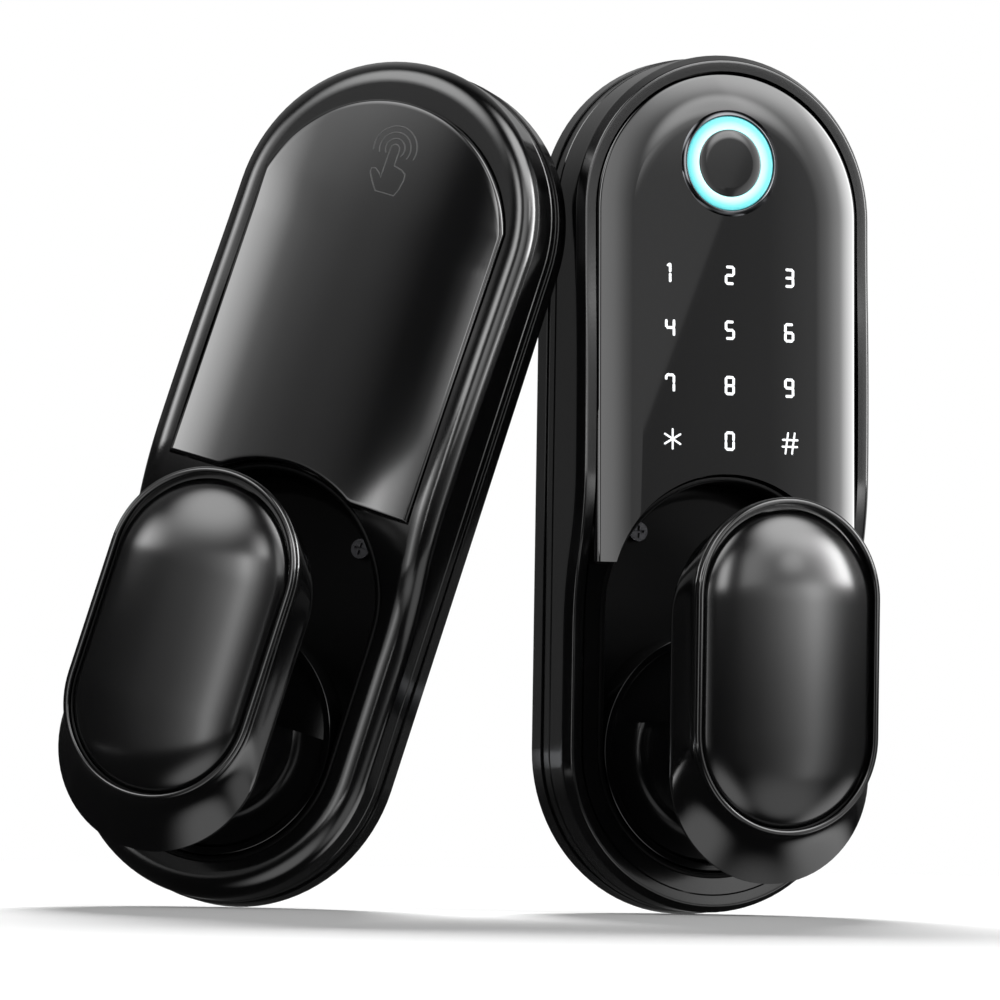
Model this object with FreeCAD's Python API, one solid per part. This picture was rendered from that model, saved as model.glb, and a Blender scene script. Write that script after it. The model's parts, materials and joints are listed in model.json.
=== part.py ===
import FreeCAD, Part
import math
import os

V = FreeCAD.Vector

# A keypad lock in two halves that clamp a door: the exterior unit and the interior unit, side by side.
# Each half is drawn in its own frame: x to the right as its front is seen, z up from the spindle axis,
# and depth from the door face towards the person who faces it (depth runs along -Y).

# Body outline: a stadium, two round ends joined by straight sides
CENTRES_APART = 110.2
BODY_R = 33.0
BODY_WALL = 2.6
PLATE_LIP = 0.4
PLATE_RIM = 0.6
SHADOW_GAP_DEEP = 0.7
SHADOW_GAP_WIDE = 0.35

# Depths of the layers, from the door outwards
GASKET_T = 0.8
GASKET_INSET = 1.9
PLATE_T = 2.0
PLATE_FRONT = 5.2
BAND_FRONT = 8.6
LOW_FRONT = 15.4
HIGH_FRONT = 20.5
TOP_FRONT = 18.3
FACE_STEP = 1.9
CHAMFER_IN = 1.2

# Heights at which the front changes depth
LOW_FRONT_Z = 24.0
HIGH_FRONT_Z = 57.0
TOP_FRONT_Z = 125.0
LENGTHWAYS_MARGIN = 50.0

# Keypad panel and fingerprint reader
PANEL_R = 29.25
PANEL_GAP = 0.3
PANEL_T = 2.6
PANEL_PROUD = 0.7
PANEL_BOTTOM_Z = 50.0
LEDGE = 2.0
READER_Z = 120.7
BEZEL_R = 11.0
LIGHT_OUTER_R = 9.75
LIGHT_INNER_R = 6.85
READER_T = 2.0
PAD_PROUD = 0.2

# Battery cover
COVER_HALF_W = 27.1
COVER_TOP_R = 28.3
COVER_TOP_Z = 134.0
COVER_BOTTOM_Z = 52.2
COVER_PROUD = 1.4
COVER_T = 1.8
COVER_LEDGE = 3.5

# Finger recess, its liner and the rosette ring
RECESS_R = 24.6
RECESS_TOP_Z = 55.0
RECESS_FLOOR = 8.5
LINER_T = 1.4
RING_GAP = 0.2
RING_W = 1.5
RING_LIP = 17.4
RECESS_SCREW_X = 14.0
RECESS_SCREW_Z = 45.0
RECESS_SCREW_HEAD_R = 2.0
RECESS_SCREW_R = 1.2
RECESS_SCREW_HEAD_T = 1.0
RECESS_SCREW_BEHIND = 1.5
SLOT_HALF_LONG = 1.3
SLOT_HALF_W = 0.25
SLOT_DEEP = 0.6

# Knob
HUB_BACK = 9.0
HUB_FLOOR = 13.0
HUB_STEP = 16.0
NECK_R = 15.8
NECK_TOP_Z = 5.6
HEAD_BACK = 43.0
SKIRT_FRONT = 45.0
RIM_BACK = 52.0
RIM_FRONT = 54.0
SKIRT_R = 22.0
SKIRT_LOW_Z = -4.9
SKIRT_HIGH_Z = 26.0
RIM_R = 20.3
RIM_W = 1.5
RIM_LOW_Z = 2.9
RIM_HIGH_Z = 29.1
HEAD_FLOOR_T = 3.0
HEAD_WALL = 2.2
CAP_FRONT = 56.5
CAP_GAP = 0.3
CAP_WALL = 1.6
CAP_SKIRT_DEEP = 3.0
CAP_EDGE = 0.3
CAP_SHOULDER_IN = 4.0
CAP_SHOULDER_UP = 0.4
CAP_CROWN_IN = 10.0
CAP_TOP_T = 0.6

# Shafts, key cylinder and drive
RUNNING_GAP = 0.05
BODY_GAP = 0.3
SHAFT_R = 9.0
SHAFT_BACK = 5.5
BUSHING_WALL = 2.0
BUSHING_FLANGE = 1.6
BUSHING_FLANGE_T = 0.8
GROOVE_DEEP = 0.6
GROOVE_PLAY = 0.1
SLEEVE_R = 7.0
SLEEVE_BACK = 1.0
SLEEVE_FRONT = 18.0
CYLINDER_R = 4.8
CYLINDER_HEAD_R = 8.0
CYLINDER_BACK = 20.0
CYLINDER_FRONT = 48.5
PLUG_R = 3.2
KEYWAY_W = 1.2
KEYWAY_H = 4.6
KEYWAY_DEEP = 20.0
CAM_R = 13.0
CAM_BACK = 3.1
CAM_FRONT = 5.1
NOTCH_W = 6.8
NOTCH_DEEP = 3.2
NOTCH_COUNT = 6
SPINDLE_W = 8.0
SPINDLE_BEHIND = 42.0
SPINDLE_AHEAD = 16.0
SOCKET_GAP = 0.1
PLATE_BORE_R = 9.0
SPRING_T = 0.5
SPRING_PITCH = 1.4
SPRING_HALF_TURNS = 6
SPRING_GAP = 0.3
POCKET_INNER_WALL = 4.0
POCKET_OUTER_WALL = 3.6
POCKET_DEEP = 2.8

# Clutch
MOTOR_W = 10.0
MOTOR_LONG = 18.0
MOTOR_T = 7.0
MOTOR_Z = 66.0
MOTOR_NOSE_R = 1.5
MOTOR_NOSE_LONG = 3.0
SLIDER_W = 6.0
SLIDER_T = 1.6
SLIDER_REST_GAP = 0.6

# Fixings through the door
POST_X = 19.0
POST_R = 4.0
POST_BEHIND = 18.0
POST_THREAD_R = 2.5
POST_THREAD_DEEP = 16.0
POST_FLANGE_R = 6.0
POST_FLANGE_T = 1.2
BOLT_HOLE_R = 2.75
CABLE_Z = -20.0
CABLE_R = 4.0
GROMMET_WALL = 1.2
GROMMET_FLANGE_T = 0.8
HOUSING_SCREW_INSET = 5.0
HOUSING_SCREW_Z = (18.0, 115.0)
HOUSING_SCREW_R = 1.25
HOUSING_SCREW_HEAD_R = 2.6
HOUSING_SCREW_HEAD_T = 1.2
HOUSING_SCREW_LONG = 6.0
SCREW_POST_R = 3.2
HOLE_GAP = 0.3

# Boards and cells
BOARD_T = 1.2
BOARD_GAP = 0.2
BOARD_W = 44.0
BOARD_BOTTOM_Z = 62.0
BOARD_TOP_Z = 104.0
MODULE_R = 8.0
MODULE_T = 3.0
BUZZER_R = 6.0
BUZZER_T = 3.5
BUZZER_X = 15.0
CELL_R = 5.25
CELL_LONG = 44.5
CELL_GAP = 0.7
CELL_COUNT = 4
CELL_BOTTOM_Z = 63.5
CELL_CAP_R = 1.9
CELL_CAP_LONG = 1.0
TRAY_WALL = 1.2
TRAY_GAP = 0.4
CONTACT_T = 0.4
CONTACT_INSET = 1.0
CELL_SPRING_R = 2.6
CELL_SPRING_WIRE_R = 0.35
CELL_SPRING_LONG = 2.4
CELL_SPRING_TURNS = 3
MAIN_BOARD_W = 32.0
MAIN_BOARD_H = 18.0
MAIN_BOARD_GAP = 1.0

# How the interior unit stands beside the exterior unit
PAIR_BEARING = 23.3
INTERIOR_BEARING = 20.0
INTERIOR_LEAN = 17.0
PAIR_OVERLAP = 5.7
PAIR_FORWARD = 15.5

os.makedirs("parts", exist_ok=True)

RECESS_HIGH_Z = RECESS_TOP_Z - RECESS_R
LINER_BACK = RECESS_FLOOR - LINER_T
INNER_R = BODY_R - BODY_WALL
PLATE_R = BODY_R + PLATE_LIP
RING_OUTER_R = RECESS_R - RING_GAP
RING_INNER_R = RING_OUTER_R - RING_W
HUB_R = RING_INNER_R - BODY_GAP
POCKET_INNER_R = SHAFT_R + POCKET_INNER_WALL
POCKET_OUTER_R = HUB_R - POCKET_OUTER_WALL
HOUSING_SCREW_X = BODY_R - HOUSING_SCREW_INSET
CELL_PITCH = 2 * CELL_R + CELL_GAP
PLATE_TOP = GASKET_T + PLATE_T
CAP_R = RIM_R - RIM_W - CAP_GAP
CAP_SHOULDER = (RIM_FRONT + CAP_EDGE + CAP_FRONT) / 2 + CAP_SHOULDER_UP
GROOVE_BACK = SHAFT_BACK + GROOVE_PLAY
GROOVE_FRONT = LINER_BACK - BUSHING_FLANGE_T - GROOVE_PLAY


def at(x, depth, z):
    return V(x, -depth, z)


def disc(radius, back, front, x=0.0, z=0.0):
    return Part.makeCylinder(radius, front - back, at(x, back, z), V(0, -1, 0))


def block(x0, x1, back, front, z0, z1):
    return Part.makeBox(x1 - x0, front - back, z1 - z0, at(x0, front, z0))


def stadium_wire(radius, low_z, high_z, depth):
    top = Part.Arc(at(radius, depth, high_z), at(0, depth, high_z + radius), at(-radius, depth, high_z))
    left = Part.LineSegment(at(-radius, depth, high_z), at(-radius, depth, low_z))
    foot = Part.Arc(at(-radius, depth, low_z), at(0, depth, low_z - radius), at(radius, depth, low_z))
    right = Part.LineSegment(at(radius, depth, low_z), at(radius, depth, high_z))
    return Part.Wire([top.toShape(), left.toShape(), foot.toShape(), right.toShape()])


def stadium(radius, low_z, high_z, back, front):
    face = Part.Face(stadium_wire(radius, low_z, high_z, back))
    return face.extrude(V(0, back - front, 0))


def body_stadium(radius, back, front):
    return stadium(radius, 0.0, CENTRES_APART, back, front)


def taper(outline_back, back, outline_front, front):
    wires = [stadium_wire(*outline_back, back), stadium_wire(*outline_front, front)]
    return Part.makeLoft(wires, True, True)


def coil(radius, wire_r, turns, back, front):
    height = front - back - 2 * wire_r
    helix = Part.makeHelix(height / turns, height, radius)
    section = Part.Wire(Part.makeCircle(wire_r, V(radius, 0, 0), V(0, 1, 0)))
    spring = Part.Wire(helix.Edges).makePipeShell([section], True, True)
    spring.rotate(V(0, 0, 0), V(1, 0, 0), 90)
    spring.translate(at(0, back + wire_r, 0))
    return spring


def half_bend(z0, depth0, z1, depth1):
    # an S of two equal arcs between two levels, square to the door at both ends
    mid_z = (z0 + z1) / 2
    mid_depth = (depth0 + depth1) / 2
    run = abs(z1 - z0) / 2
    rise = abs(depth1 - depth0) / 2
    radius = (run * run + rise * rise) / (2 * rise)
    sag = radius - math.sqrt(radius * radius - run * run / 4)
    lift = math.copysign(sag, depth1 - depth0)
    first = Part.Arc(at(0, depth0, z0), at(0, depth0 + lift, (z0 + mid_z) / 2), at(0, mid_depth, mid_z))
    second = Part.Arc(at(0, mid_depth, mid_z), at(0, depth1 - lift, (mid_z + z1) / 2), at(0, depth1, z1))
    return [first.toShape(), second.toShape()]


def line(depth0, z0, depth1, z1):
    return Part.LineSegment(at(0, depth0, z0), at(0, depth1, z1)).toShape()


def behind_front(ahead):
    # everything behind the swept front, moved ahead by the given step
    low = LOW_FRONT + ahead
    high = HIGH_FRONT + ahead
    top = TOP_FRONT + ahead
    top_z = CENTRES_APART + LENGTHWAYS_MARGIN
    foot_z = -LENGTHWAYS_MARGIN
    edges = [line(top, top_z, top, TOP_FRONT_Z)]
    edges += half_bend(TOP_FRONT_Z, top, HIGH_FRONT_Z, high)
    edges += half_bend(HIGH_FRONT_Z, high, LOW_FRONT_Z, low)
    edges.append(line(low, LOW_FRONT_Z, low, foot_z))
    edges.append(line(low, foot_z, 0.0, foot_z))
    edges.append(line(0.0, foot_z, 0.0, top_z))
    edges.append(line(0.0, top_z, top, top_z))
    face = Part.Face(Part.Wire(edges))
    face.translate(V(-LENGTHWAYS_MARGIN, 0, 0))
    return face.extrude(V(2 * LENGTHWAYS_MARGIN, 0, 0))


def above(z):
    high = CENTRES_APART + LENGTHWAYS_MARGIN
    return block(-LENGTHWAYS_MARGIN, LENGTHWAYS_MARGIN, 0, 2 * CAP_FRONT, z, high)


def recess_outline(radius, back, front):
    return stadium(radius, 0.0, RECESS_HIGH_Z, back, front)


def housing_screw_places():
    return [(side * HOUSING_SCREW_X, z) for z in HOUSING_SCREW_Z for side in (-1, 1)]


# Pieces that both halves share


def door_plate_holes(back, front, gap):
    holes = [disc(PLATE_BORE_R + gap, back, front)]
    holes.append(disc(CABLE_R + gap, back, front, 0, CABLE_Z))
    return holes


def gasket(fixing_r):
    pad = body_stadium(PLATE_R - GASKET_INSET, 0, GASKET_T)
    holes = door_plate_holes(0, GASKET_T, 0)
    holes += [disc(fixing_r + HOLE_GAP, 0, GASKET_T, side * POST_X) for side in (-1, 1)]
    holes += [disc(HOUSING_SCREW_HEAD_R + HOLE_GAP, 0, GASKET_T, x, z) for x, z in housing_screw_places()]
    return pad.cut(holes)


def back_plate(fixing_r):
    plate = body_stadium(PLATE_R, GASKET_T, PLATE_FRONT)
    tray = body_stadium(INNER_R - PLATE_RIM, PLATE_TOP, PLATE_FRONT)
    pillars = [disc(SCREW_POST_R, PLATE_TOP, PLATE_FRONT, x, z) for x, z in housing_screw_places()]
    plate = plate.cut(tray).fuse(pillars)
    holes = door_plate_holes(GASKET_T, PLATE_TOP, 0)
    holes += [disc(fixing_r, GASKET_T, PLATE_TOP, side * POST_X) for side in (-1, 1)]
    for x, z in housing_screw_places():
        holes.append(disc(HOUSING_SCREW_R + HOLE_GAP, GASKET_T, PLATE_FRONT, x, z))
        holes.append(disc(HOUSING_SCREW_HEAD_R, GASKET_T, GASKET_T + HOUSING_SCREW_HEAD_T, x, z))
    return plate.cut(holes)


def housing(opening, ledge_opening, opening_floor):
    front = PLATE_FRONT + 2 * CENTRES_APART
    wall = body_stadium(BODY_R, PLATE_FRONT, front).common(behind_front(0))
    bevel = body_stadium(BODY_R - CHAMFER_IN / 2, PLATE_FRONT, front).common(behind_front(FACE_STEP / 2))
    face = body_stadium(BODY_R - CHAMFER_IN, PLATE_FRONT, front).common(behind_front(FACE_STEP))
    shell = wall.fuse([bevel, face])
    lower_cavity = body_stadium(INNER_R, PLATE_FRONT, LINER_BACK)
    upper_cavity = body_stadium(INNER_R - LEDGE, PLATE_FRONT, front)
    upper_cavity = upper_cavity.common(behind_front(opening_floor)).common(above(RECESS_TOP_Z + 2 * LINER_T))
    recess = recess_outline(RECESS_R + LINER_T, PLATE_FRONT, front)
    shell = shell.cut([lower_cavity, upper_cavity, recess])
    shell = shell.cut(opening.cut(behind_front(opening_floor)))
    shell = shell.cut(ledge_opening)
    for depth in (PLATE_FRONT, BAND_FRONT):
        outside = body_stadium(PLATE_R, depth, depth + SHADOW_GAP_WIDE)
        kept = body_stadium(BODY_R - SHADOW_GAP_DEEP, depth, depth + SHADOW_GAP_WIDE)
        shell = shell.cut(outside.cut(kept))
    pillars = [disc(SCREW_POST_R, PLATE_FRONT, LINER_BACK, x, z) for x, z in housing_screw_places()]
    screw_front = GASKET_T + HOUSING_SCREW_LONG
    bores = [disc(HOUSING_SCREW_R, PLATE_FRONT, screw_front, x, z) for x, z in housing_screw_places()]
    return shell.fuse(pillars).cut(bores)


def recess_liner():
    tub = recess_outline(RECESS_R + LINER_T, LINER_BACK, 2 * CAP_FRONT).common(behind_front(FACE_STEP))
    tub = tub.cut(recess_outline(RECESS_R, RECESS_FLOOR, 2 * CAP_FRONT))
    bushing_hole = disc(SHAFT_R + RUNNING_GAP + BUSHING_WALL, LINER_BACK, RECESS_FLOOR)
    screw_holes = [disc(RECESS_SCREW_R, LINER_BACK, RECESS_FLOOR, side * RECESS_SCREW_X, RECESS_SCREW_Z)
                   for side in (-1, 1)]
    return tub.cut([bushing_hole] + screw_holes)


def rosette_ring():
    ring = disc(RING_OUTER_R, RECESS_FLOOR, RING_LIP)
    return ring.cut(disc(RING_INNER_R, RECESS_FLOOR, RING_LIP))


def recess_screws():
    screws = []
    for side in (-1, 1):
        x = side * RECESS_SCREW_X
        front = RECESS_FLOOR + RECESS_SCREW_HEAD_T
        head = disc(RECESS_SCREW_HEAD_R, RECESS_FLOOR, front, x, RECESS_SCREW_Z)
        shank = disc(RECESS_SCREW_R, LINER_BACK - RECESS_SCREW_BEHIND, RECESS_FLOOR, x, RECESS_SCREW_Z)
        screw = head.fuse(shank)
        for angle in (0, 90):
            slot = block(x - SLOT_HALF_LONG, x + SLOT_HALF_LONG, front - SLOT_DEEP, front,
                         RECESS_SCREW_Z - SLOT_HALF_W, RECESS_SCREW_Z + SLOT_HALF_W)
            slot.rotate(at(x, 0, RECESS_SCREW_Z), V(0, 1, 0), angle)
            screw = screw.cut(slot)
        screws.append(screw)
    return Part.makeCompound(screws)


def housing_screws():
    screws = []
    for x, z in housing_screw_places():
        head = disc(HOUSING_SCREW_HEAD_R - HOLE_GAP / 2, GASKET_T, GASKET_T + HOUSING_SCREW_HEAD_T, x, z)
        shank = disc(HOUSING_SCREW_R, GASKET_T, GASKET_T + HOUSING_SCREW_LONG, x, z)
        screws.append(head.fuse(shank))
    return Part.makeCompound(screws)


def bushing():
    outer_r = SHAFT_R + RUNNING_GAP + BUSHING_WALL
    sleeve = disc(outer_r, LINER_BACK, RECESS_FLOOR)
    flange = disc(outer_r + BUSHING_FLANGE, LINER_BACK - BUSHING_FLANGE_T, LINER_BACK)
    return sleeve.fuse(flange).cut(disc(SHAFT_R + RUNNING_GAP, 0, RECESS_FLOOR))


def groove_floor():
    return disc(SHAFT_R - GROOVE_DEEP, GROOVE_BACK, GROOVE_FRONT)


def retaining_ring():
    return disc(SHAFT_R + BUSHING_FLANGE, GROOVE_BACK, GROOVE_FRONT).cut(groove_floor())


def square(width, back, front):
    return block(-width / 2, width / 2, back, front, -width / 2, width / 2)


def knob_hub(bore):
    hub = disc(HUB_R, HUB_BACK, HUB_FLOOR)
    step = disc(HUB_R, HUB_FLOOR, HUB_STEP).cut(above(NECK_TOP_Z))
    neck = disc(NECK_R, HUB_FLOOR, HEAD_BACK).cut(above(NECK_TOP_Z))
    shaft = disc(SHAFT_R, SHAFT_BACK, HUB_BACK)
    hub = hub.fuse([step, neck, shaft])
    groove = disc(SHAFT_R + 1, GROOVE_BACK, GROOVE_FRONT).cut(groove_floor())
    pocket = disc(POCKET_OUTER_R, HUB_BACK, HUB_BACK + POCKET_DEEP)
    pocket = pocket.cut(disc(POCKET_INNER_R, HUB_BACK, HUB_BACK + POCKET_DEEP))
    return hub.cut([groove, pocket, bore])


def half_turns(start_r, depth):
    # a spiral of half circles about two centres, each wider than the last by half the pitch
    edges = []
    centre = 0.0
    radius = start_r
    side = 1
    for _ in range(SPRING_HALF_TURNS):
        first = at(centre + side * radius, depth, 0)
        top = at(centre, depth, side * radius)
        last = at(centre - side * radius, depth, 0)
        edges.append(Part.Arc(first, top, last).toShape())
        centre += side * SPRING_PITCH / 4
        radius += SPRING_PITCH / 4
        side = -side
    return edges, edges[0].Vertexes[0].Point, edges[-1].Vertexes[-1].Point


def return_spring():
    back = HUB_BACK + SPRING_GAP
    front = HUB_BACK + POCKET_DEEP
    inner, inner_start, inner_end = half_turns(POCKET_INNER_R + SPRING_GAP, back)
    outer, outer_start, outer_end = half_turns(POCKET_INNER_R + SPRING_GAP + SPRING_T, back)
    first = Part.LineSegment(inner_start, outer_start).toShape()
    last = Part.LineSegment(inner_end, outer_end).toShape()
    strip = Part.Face(Part.Wire(Part.__sortEdges__(inner + outer + [first, last])))
    return strip.extrude(V(0, back - front, 0))


def knob_head():
    skirt_line = (SKIRT_R, SKIRT_LOW_Z, SKIRT_HIGH_Z)
    skirt = stadium(*skirt_line, HEAD_BACK, SKIRT_FRONT)
    flare = taper(skirt_line, SKIRT_FRONT, (RIM_R, RIM_LOW_Z, RIM_HIGH_Z), RIM_BACK)
    well_r = RIM_R - HEAD_WALL
    well = stadium(well_r, RIM_LOW_Z, RIM_HIGH_Z, HEAD_BACK + HEAD_FLOOR_T, RIM_BACK)
    return skirt.fuse(flare).cut(well)


def knob_rim():
    rim = stadium(RIM_R, RIM_LOW_Z, RIM_HIGH_Z, RIM_BACK, RIM_FRONT)
    return rim.cut(stadium(RIM_R - RIM_W, RIM_LOW_Z, RIM_HIGH_Z, RIM_BACK, RIM_FRONT))


def knob_cap():
    skirt_r = RIM_R - HEAD_WALL - CAP_GAP
    skirt_back = RIM_FRONT - CAP_SKIRT_DEEP
    edge = RIM_FRONT + CAP_EDGE
    rim_line = (CAP_R, RIM_LOW_Z, RIM_HIGH_Z)
    shoulder_line = (CAP_R - CAP_SHOULDER_IN, RIM_LOW_Z, RIM_HIGH_Z)
    crown_line = (CAP_R - CAP_CROWN_IN, RIM_LOW_Z, RIM_HIGH_Z)
    skirt = stadium(skirt_r, RIM_LOW_Z, RIM_HIGH_Z, skirt_back, RIM_FRONT)
    plate = stadium(*rim_line, RIM_BACK + CAP_GAP, edge)
    slope = taper(rim_line, edge, shoulder_line, CAP_SHOULDER)
    crown = taper(shoulder_line, CAP_SHOULDER, crown_line, CAP_FRONT)
    hollow = stadium(skirt_r - CAP_WALL, RIM_LOW_Z, RIM_HIGH_Z, skirt_back, RIM_FRONT - CAP_TOP_T)
    return plate.fuse([skirt, slope, crown]).cut(hollow)


# The exterior unit


def mounting_posts():
    posts = []
    for side in (-1, 1):
        x = side * POST_X
        post = disc(POST_R, -POST_BEHIND, PLATE_TOP, x)
        flange = disc(POST_FLANGE_R, PLATE_TOP, PLATE_TOP + POST_FLANGE_T, x)
        thread = disc(POST_THREAD_R, -POST_BEHIND, POST_THREAD_DEEP - POST_BEHIND, x)
        posts.append(post.fuse(flange).cut(thread))
    return Part.makeCompound(posts)


def panel_outline(radius, bottom_z):
    outline = body_stadium(radius, 0, 2 * CAP_FRONT).common(above(bottom_z))
    return outline.cut(recess_outline(RECESS_R + LINER_T + PANEL_GAP, 0, 2 * CAP_FRONT))


def panel_floor():
    return FACE_STEP + PANEL_PROUD - PANEL_T


def keypad_panel():
    panel = panel_outline(PANEL_R, PANEL_BOTTOM_Z).common(behind_front(FACE_STEP + PANEL_PROUD))
    panel = panel.cut(behind_front(panel_floor()))
    return panel.cut(disc(BEZEL_R, 0, 2 * CAP_FRONT, 0, READER_Z))


def reader_front():
    return TOP_FRONT + FACE_STEP + PANEL_PROUD


def fingerprint_bezel():
    bezel = disc(BEZEL_R, reader_front() - PANEL_T, reader_front() + PAD_PROUD, 0, READER_Z)
    return bezel.cut(disc(LIGHT_OUTER_R, 0, 2 * CAP_FRONT, 0, READER_Z))


def light_ring():
    ring = disc(LIGHT_OUTER_R, reader_front() - READER_T, reader_front(), 0, READER_Z)
    return ring.cut(disc(LIGHT_INNER_R, 0, 2 * CAP_FRONT, 0, READER_Z))


def fingerprint_pad():
    return disc(LIGHT_INNER_R, reader_front() - READER_T, reader_front() + PAD_PROUD, 0, READER_Z)


def fingerprint_module():
    back = reader_front() - READER_T - MODULE_T
    return disc(MODULE_R, back, back + MODULE_T, 0, READER_Z)


def touch_board_front():
    return TOP_FRONT + panel_floor() - BOARD_GAP


def touch_circuit_board():
    front = touch_board_front()
    return block(-BOARD_W / 2, BOARD_W / 2, front - BOARD_T, front, BOARD_BOTTOM_Z, BOARD_TOP_Z)


def buzzer():
    front = touch_board_front() - BOARD_T
    return disc(BUZZER_R, front - BUZZER_T, front, BUZZER_X, BOARD_TOP_Z - 2 * BUZZER_R)


def clutch_motor():
    body = block(-MOTOR_W / 2, MOTOR_W / 2, PLATE_TOP, PLATE_TOP + MOTOR_T, MOTOR_Z, MOTOR_Z + MOTOR_LONG)
    nose = disc(MOTOR_NOSE_R, 0, MOTOR_NOSE_LONG)
    nose.rotate(V(0, 0, 0), V(1, 0, 0), 90)
    nose.translate(at(0, PLATE_TOP + MOTOR_T / 2, MOTOR_Z))
    return body.fuse(nose)


def clutch_slider():
    low = CAM_R + SLIDER_REST_GAP
    high = MOTOR_Z - MOTOR_NOSE_LONG - BODY_GAP
    back = CAM_BACK
    return block(-SLIDER_W / 2, SLIDER_W / 2, back, back + SLIDER_T, low, high)


def cable_grommet():
    front = PLATE_TOP + GROMMET_FLANGE_T
    flange = disc(CABLE_R + GROMMET_WALL, PLATE_TOP, front, 0, CABLE_Z)
    sleeve = disc(CABLE_R, 0, PLATE_TOP, 0, CABLE_Z)
    return flange.fuse(sleeve).cut(disc(CABLE_R - GROMMET_WALL, 0, front, 0, CABLE_Z))


def exterior_drive_cam():
    cam = disc(CAM_R, CAM_BACK, CAM_FRONT).cut(disc(SLEEVE_R, CAM_BACK, CAM_FRONT))
    for index in range(NOTCH_COUNT):
        notch = block(-NOTCH_W / 2, NOTCH_W / 2, CAM_BACK, CAM_FRONT, CAM_R - NOTCH_DEEP, CAM_R + 1)
        notch.rotate(V(0, 0, 0), V(0, 1, 0), index * 360 / NOTCH_COUNT)
        cam = cam.cut(notch)
    return cam


def exterior_spindle_socket():
    sleeve = disc(SLEEVE_R, SLEEVE_BACK, SLEEVE_FRONT)
    return sleeve.cut(square(SPINDLE_W + 2 * SOCKET_GAP, SLEEVE_BACK, SLEEVE_FRONT))


def cylinder_hole():
    return disc(CYLINDER_R, CYLINDER_BACK, HEAD_BACK + HEAD_FLOOR_T)


def key_cylinder():
    barrel = disc(CYLINDER_R, CYLINDER_BACK, CYLINDER_FRONT)
    head = disc(CYLINDER_HEAD_R, HEAD_BACK + HEAD_FLOOR_T, CYLINDER_FRONT)
    plug_bore = disc(PLUG_R + RUNNING_GAP, CYLINDER_BACK + 1, CYLINDER_FRONT)
    return barrel.fuse(head).cut(plug_bore)


def key_plug():
    plug = disc(PLUG_R, CYLINDER_BACK + 1 + BODY_GAP, CYLINDER_FRONT)
    keyway = block(-KEYWAY_W / 2, KEYWAY_W / 2, CYLINDER_FRONT - KEYWAY_DEEP, CYLINDER_FRONT,
                   -KEYWAY_H / 2, KEYWAY_H / 2)
    return plug.cut(keyway)


# The interior unit


def cover_outline(gap):
    half_w = COVER_HALF_W + gap
    top_r = COVER_TOP_R + gap
    top = disc(top_r, 0, 2 * CAP_FRONT, 0, COVER_TOP_Z - COVER_TOP_R)
    corner_z = COVER_TOP_Z - COVER_TOP_R + math.sqrt(top_r * top_r - half_w * half_w)
    sides = block(-half_w, half_w, 0, 2 * CAP_FRONT, COVER_BOTTOM_Z - gap, corner_z)
    outline = sides.fuse(top.common(above(CENTRES_APART / 2)))
    outline = outline.common(block(-half_w, half_w, 0, 2 * CAP_FRONT, 0, 2 * CENTRES_APART))
    return outline.cut(recess_outline(RECESS_R + LINER_T + PANEL_GAP - gap, 0, 2 * CAP_FRONT))


def cover_floor():
    return FACE_STEP + COVER_PROUD - COVER_T


def battery_cover():
    cover = cover_outline(0).common(behind_front(FACE_STEP + COVER_PROUD))
    return cover.cut(behind_front(cover_floor()))


def cell_places():
    first = -(CELL_COUNT - 1) / 2 * CELL_PITCH
    return [first + index * CELL_PITCH for index in range(CELL_COUNT)]


def cell_depth():
    return PLATE_TOP + TRAY_WALL + TRAY_GAP + CELL_R


def cell_ends():
    return CELL_BOTTOM_Z, CELL_BOTTOM_Z + CELL_LONG


def battery_tray():
    low, high = cell_ends()
    half = CELL_COUNT * CELL_PITCH / 2 + TRAY_GAP
    spring_room = CELL_SPRING_LONG + CONTACT_T
    front = cell_depth() + CELL_R / 2
    tray = block(-half - TRAY_WALL, half + TRAY_WALL, PLATE_TOP, front,
                 low - spring_room - TRAY_WALL, high + CONTACT_T + TRAY_WALL)
    return tray.cut(block(-half, half, PLATE_TOP + TRAY_WALL, front, low - spring_room, high + CONTACT_T))


def battery_cells():
    cells = []
    low, high = cell_ends()
    for x in cell_places():
        can_high = high - CELL_CAP_LONG
        can = Part.makeCylinder(CELL_R, can_high - low, at(x, cell_depth(), low), V(0, 0, 1))
        cap = Part.makeCylinder(CELL_CAP_R, CELL_CAP_LONG, at(x, cell_depth(), can_high), V(0, 0, 1))
        cells.append(can.fuse(cap))
    return Part.makeCompound(cells)


def contact_springs():
    springs = []
    low = cell_ends()[0]
    for x in cell_places():
        spring = coil(CELL_SPRING_R, CELL_SPRING_WIRE_R, CELL_SPRING_TURNS, 0, CELL_SPRING_LONG)
        spring.rotate(V(0, 0, 0), V(1, 0, 0), -90)
        spring.translate(at(x, cell_depth(), low - CELL_SPRING_LONG))
        springs.append(spring)
    return Part.makeCompound(springs)


def contact_plates():
    plates = []
    low, high = cell_ends()
    half = CELL_R - CONTACT_INSET
    back = cell_depth() - half
    front = cell_depth() + half
    for x in cell_places():
        for z in (low - CELL_SPRING_LONG - CONTACT_T, high):
            plates.append(block(x - half, x + half, back, front, z, z + CONTACT_T))
    return Part.makeCompound(plates)


def main_circuit_board():
    low = cell_ends()[1] + CONTACT_T + TRAY_WALL + MAIN_BOARD_GAP
    back = PLATE_FRONT + MAIN_BOARD_GAP
    return block(-MAIN_BOARD_W / 2, MAIN_BOARD_W / 2, back, back + BOARD_T, low, low + MAIN_BOARD_H)


def interior_spindle():
    return square(SPINDLE_W, -SPINDLE_BEHIND, SPINDLE_AHEAD)


# Put together


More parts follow.
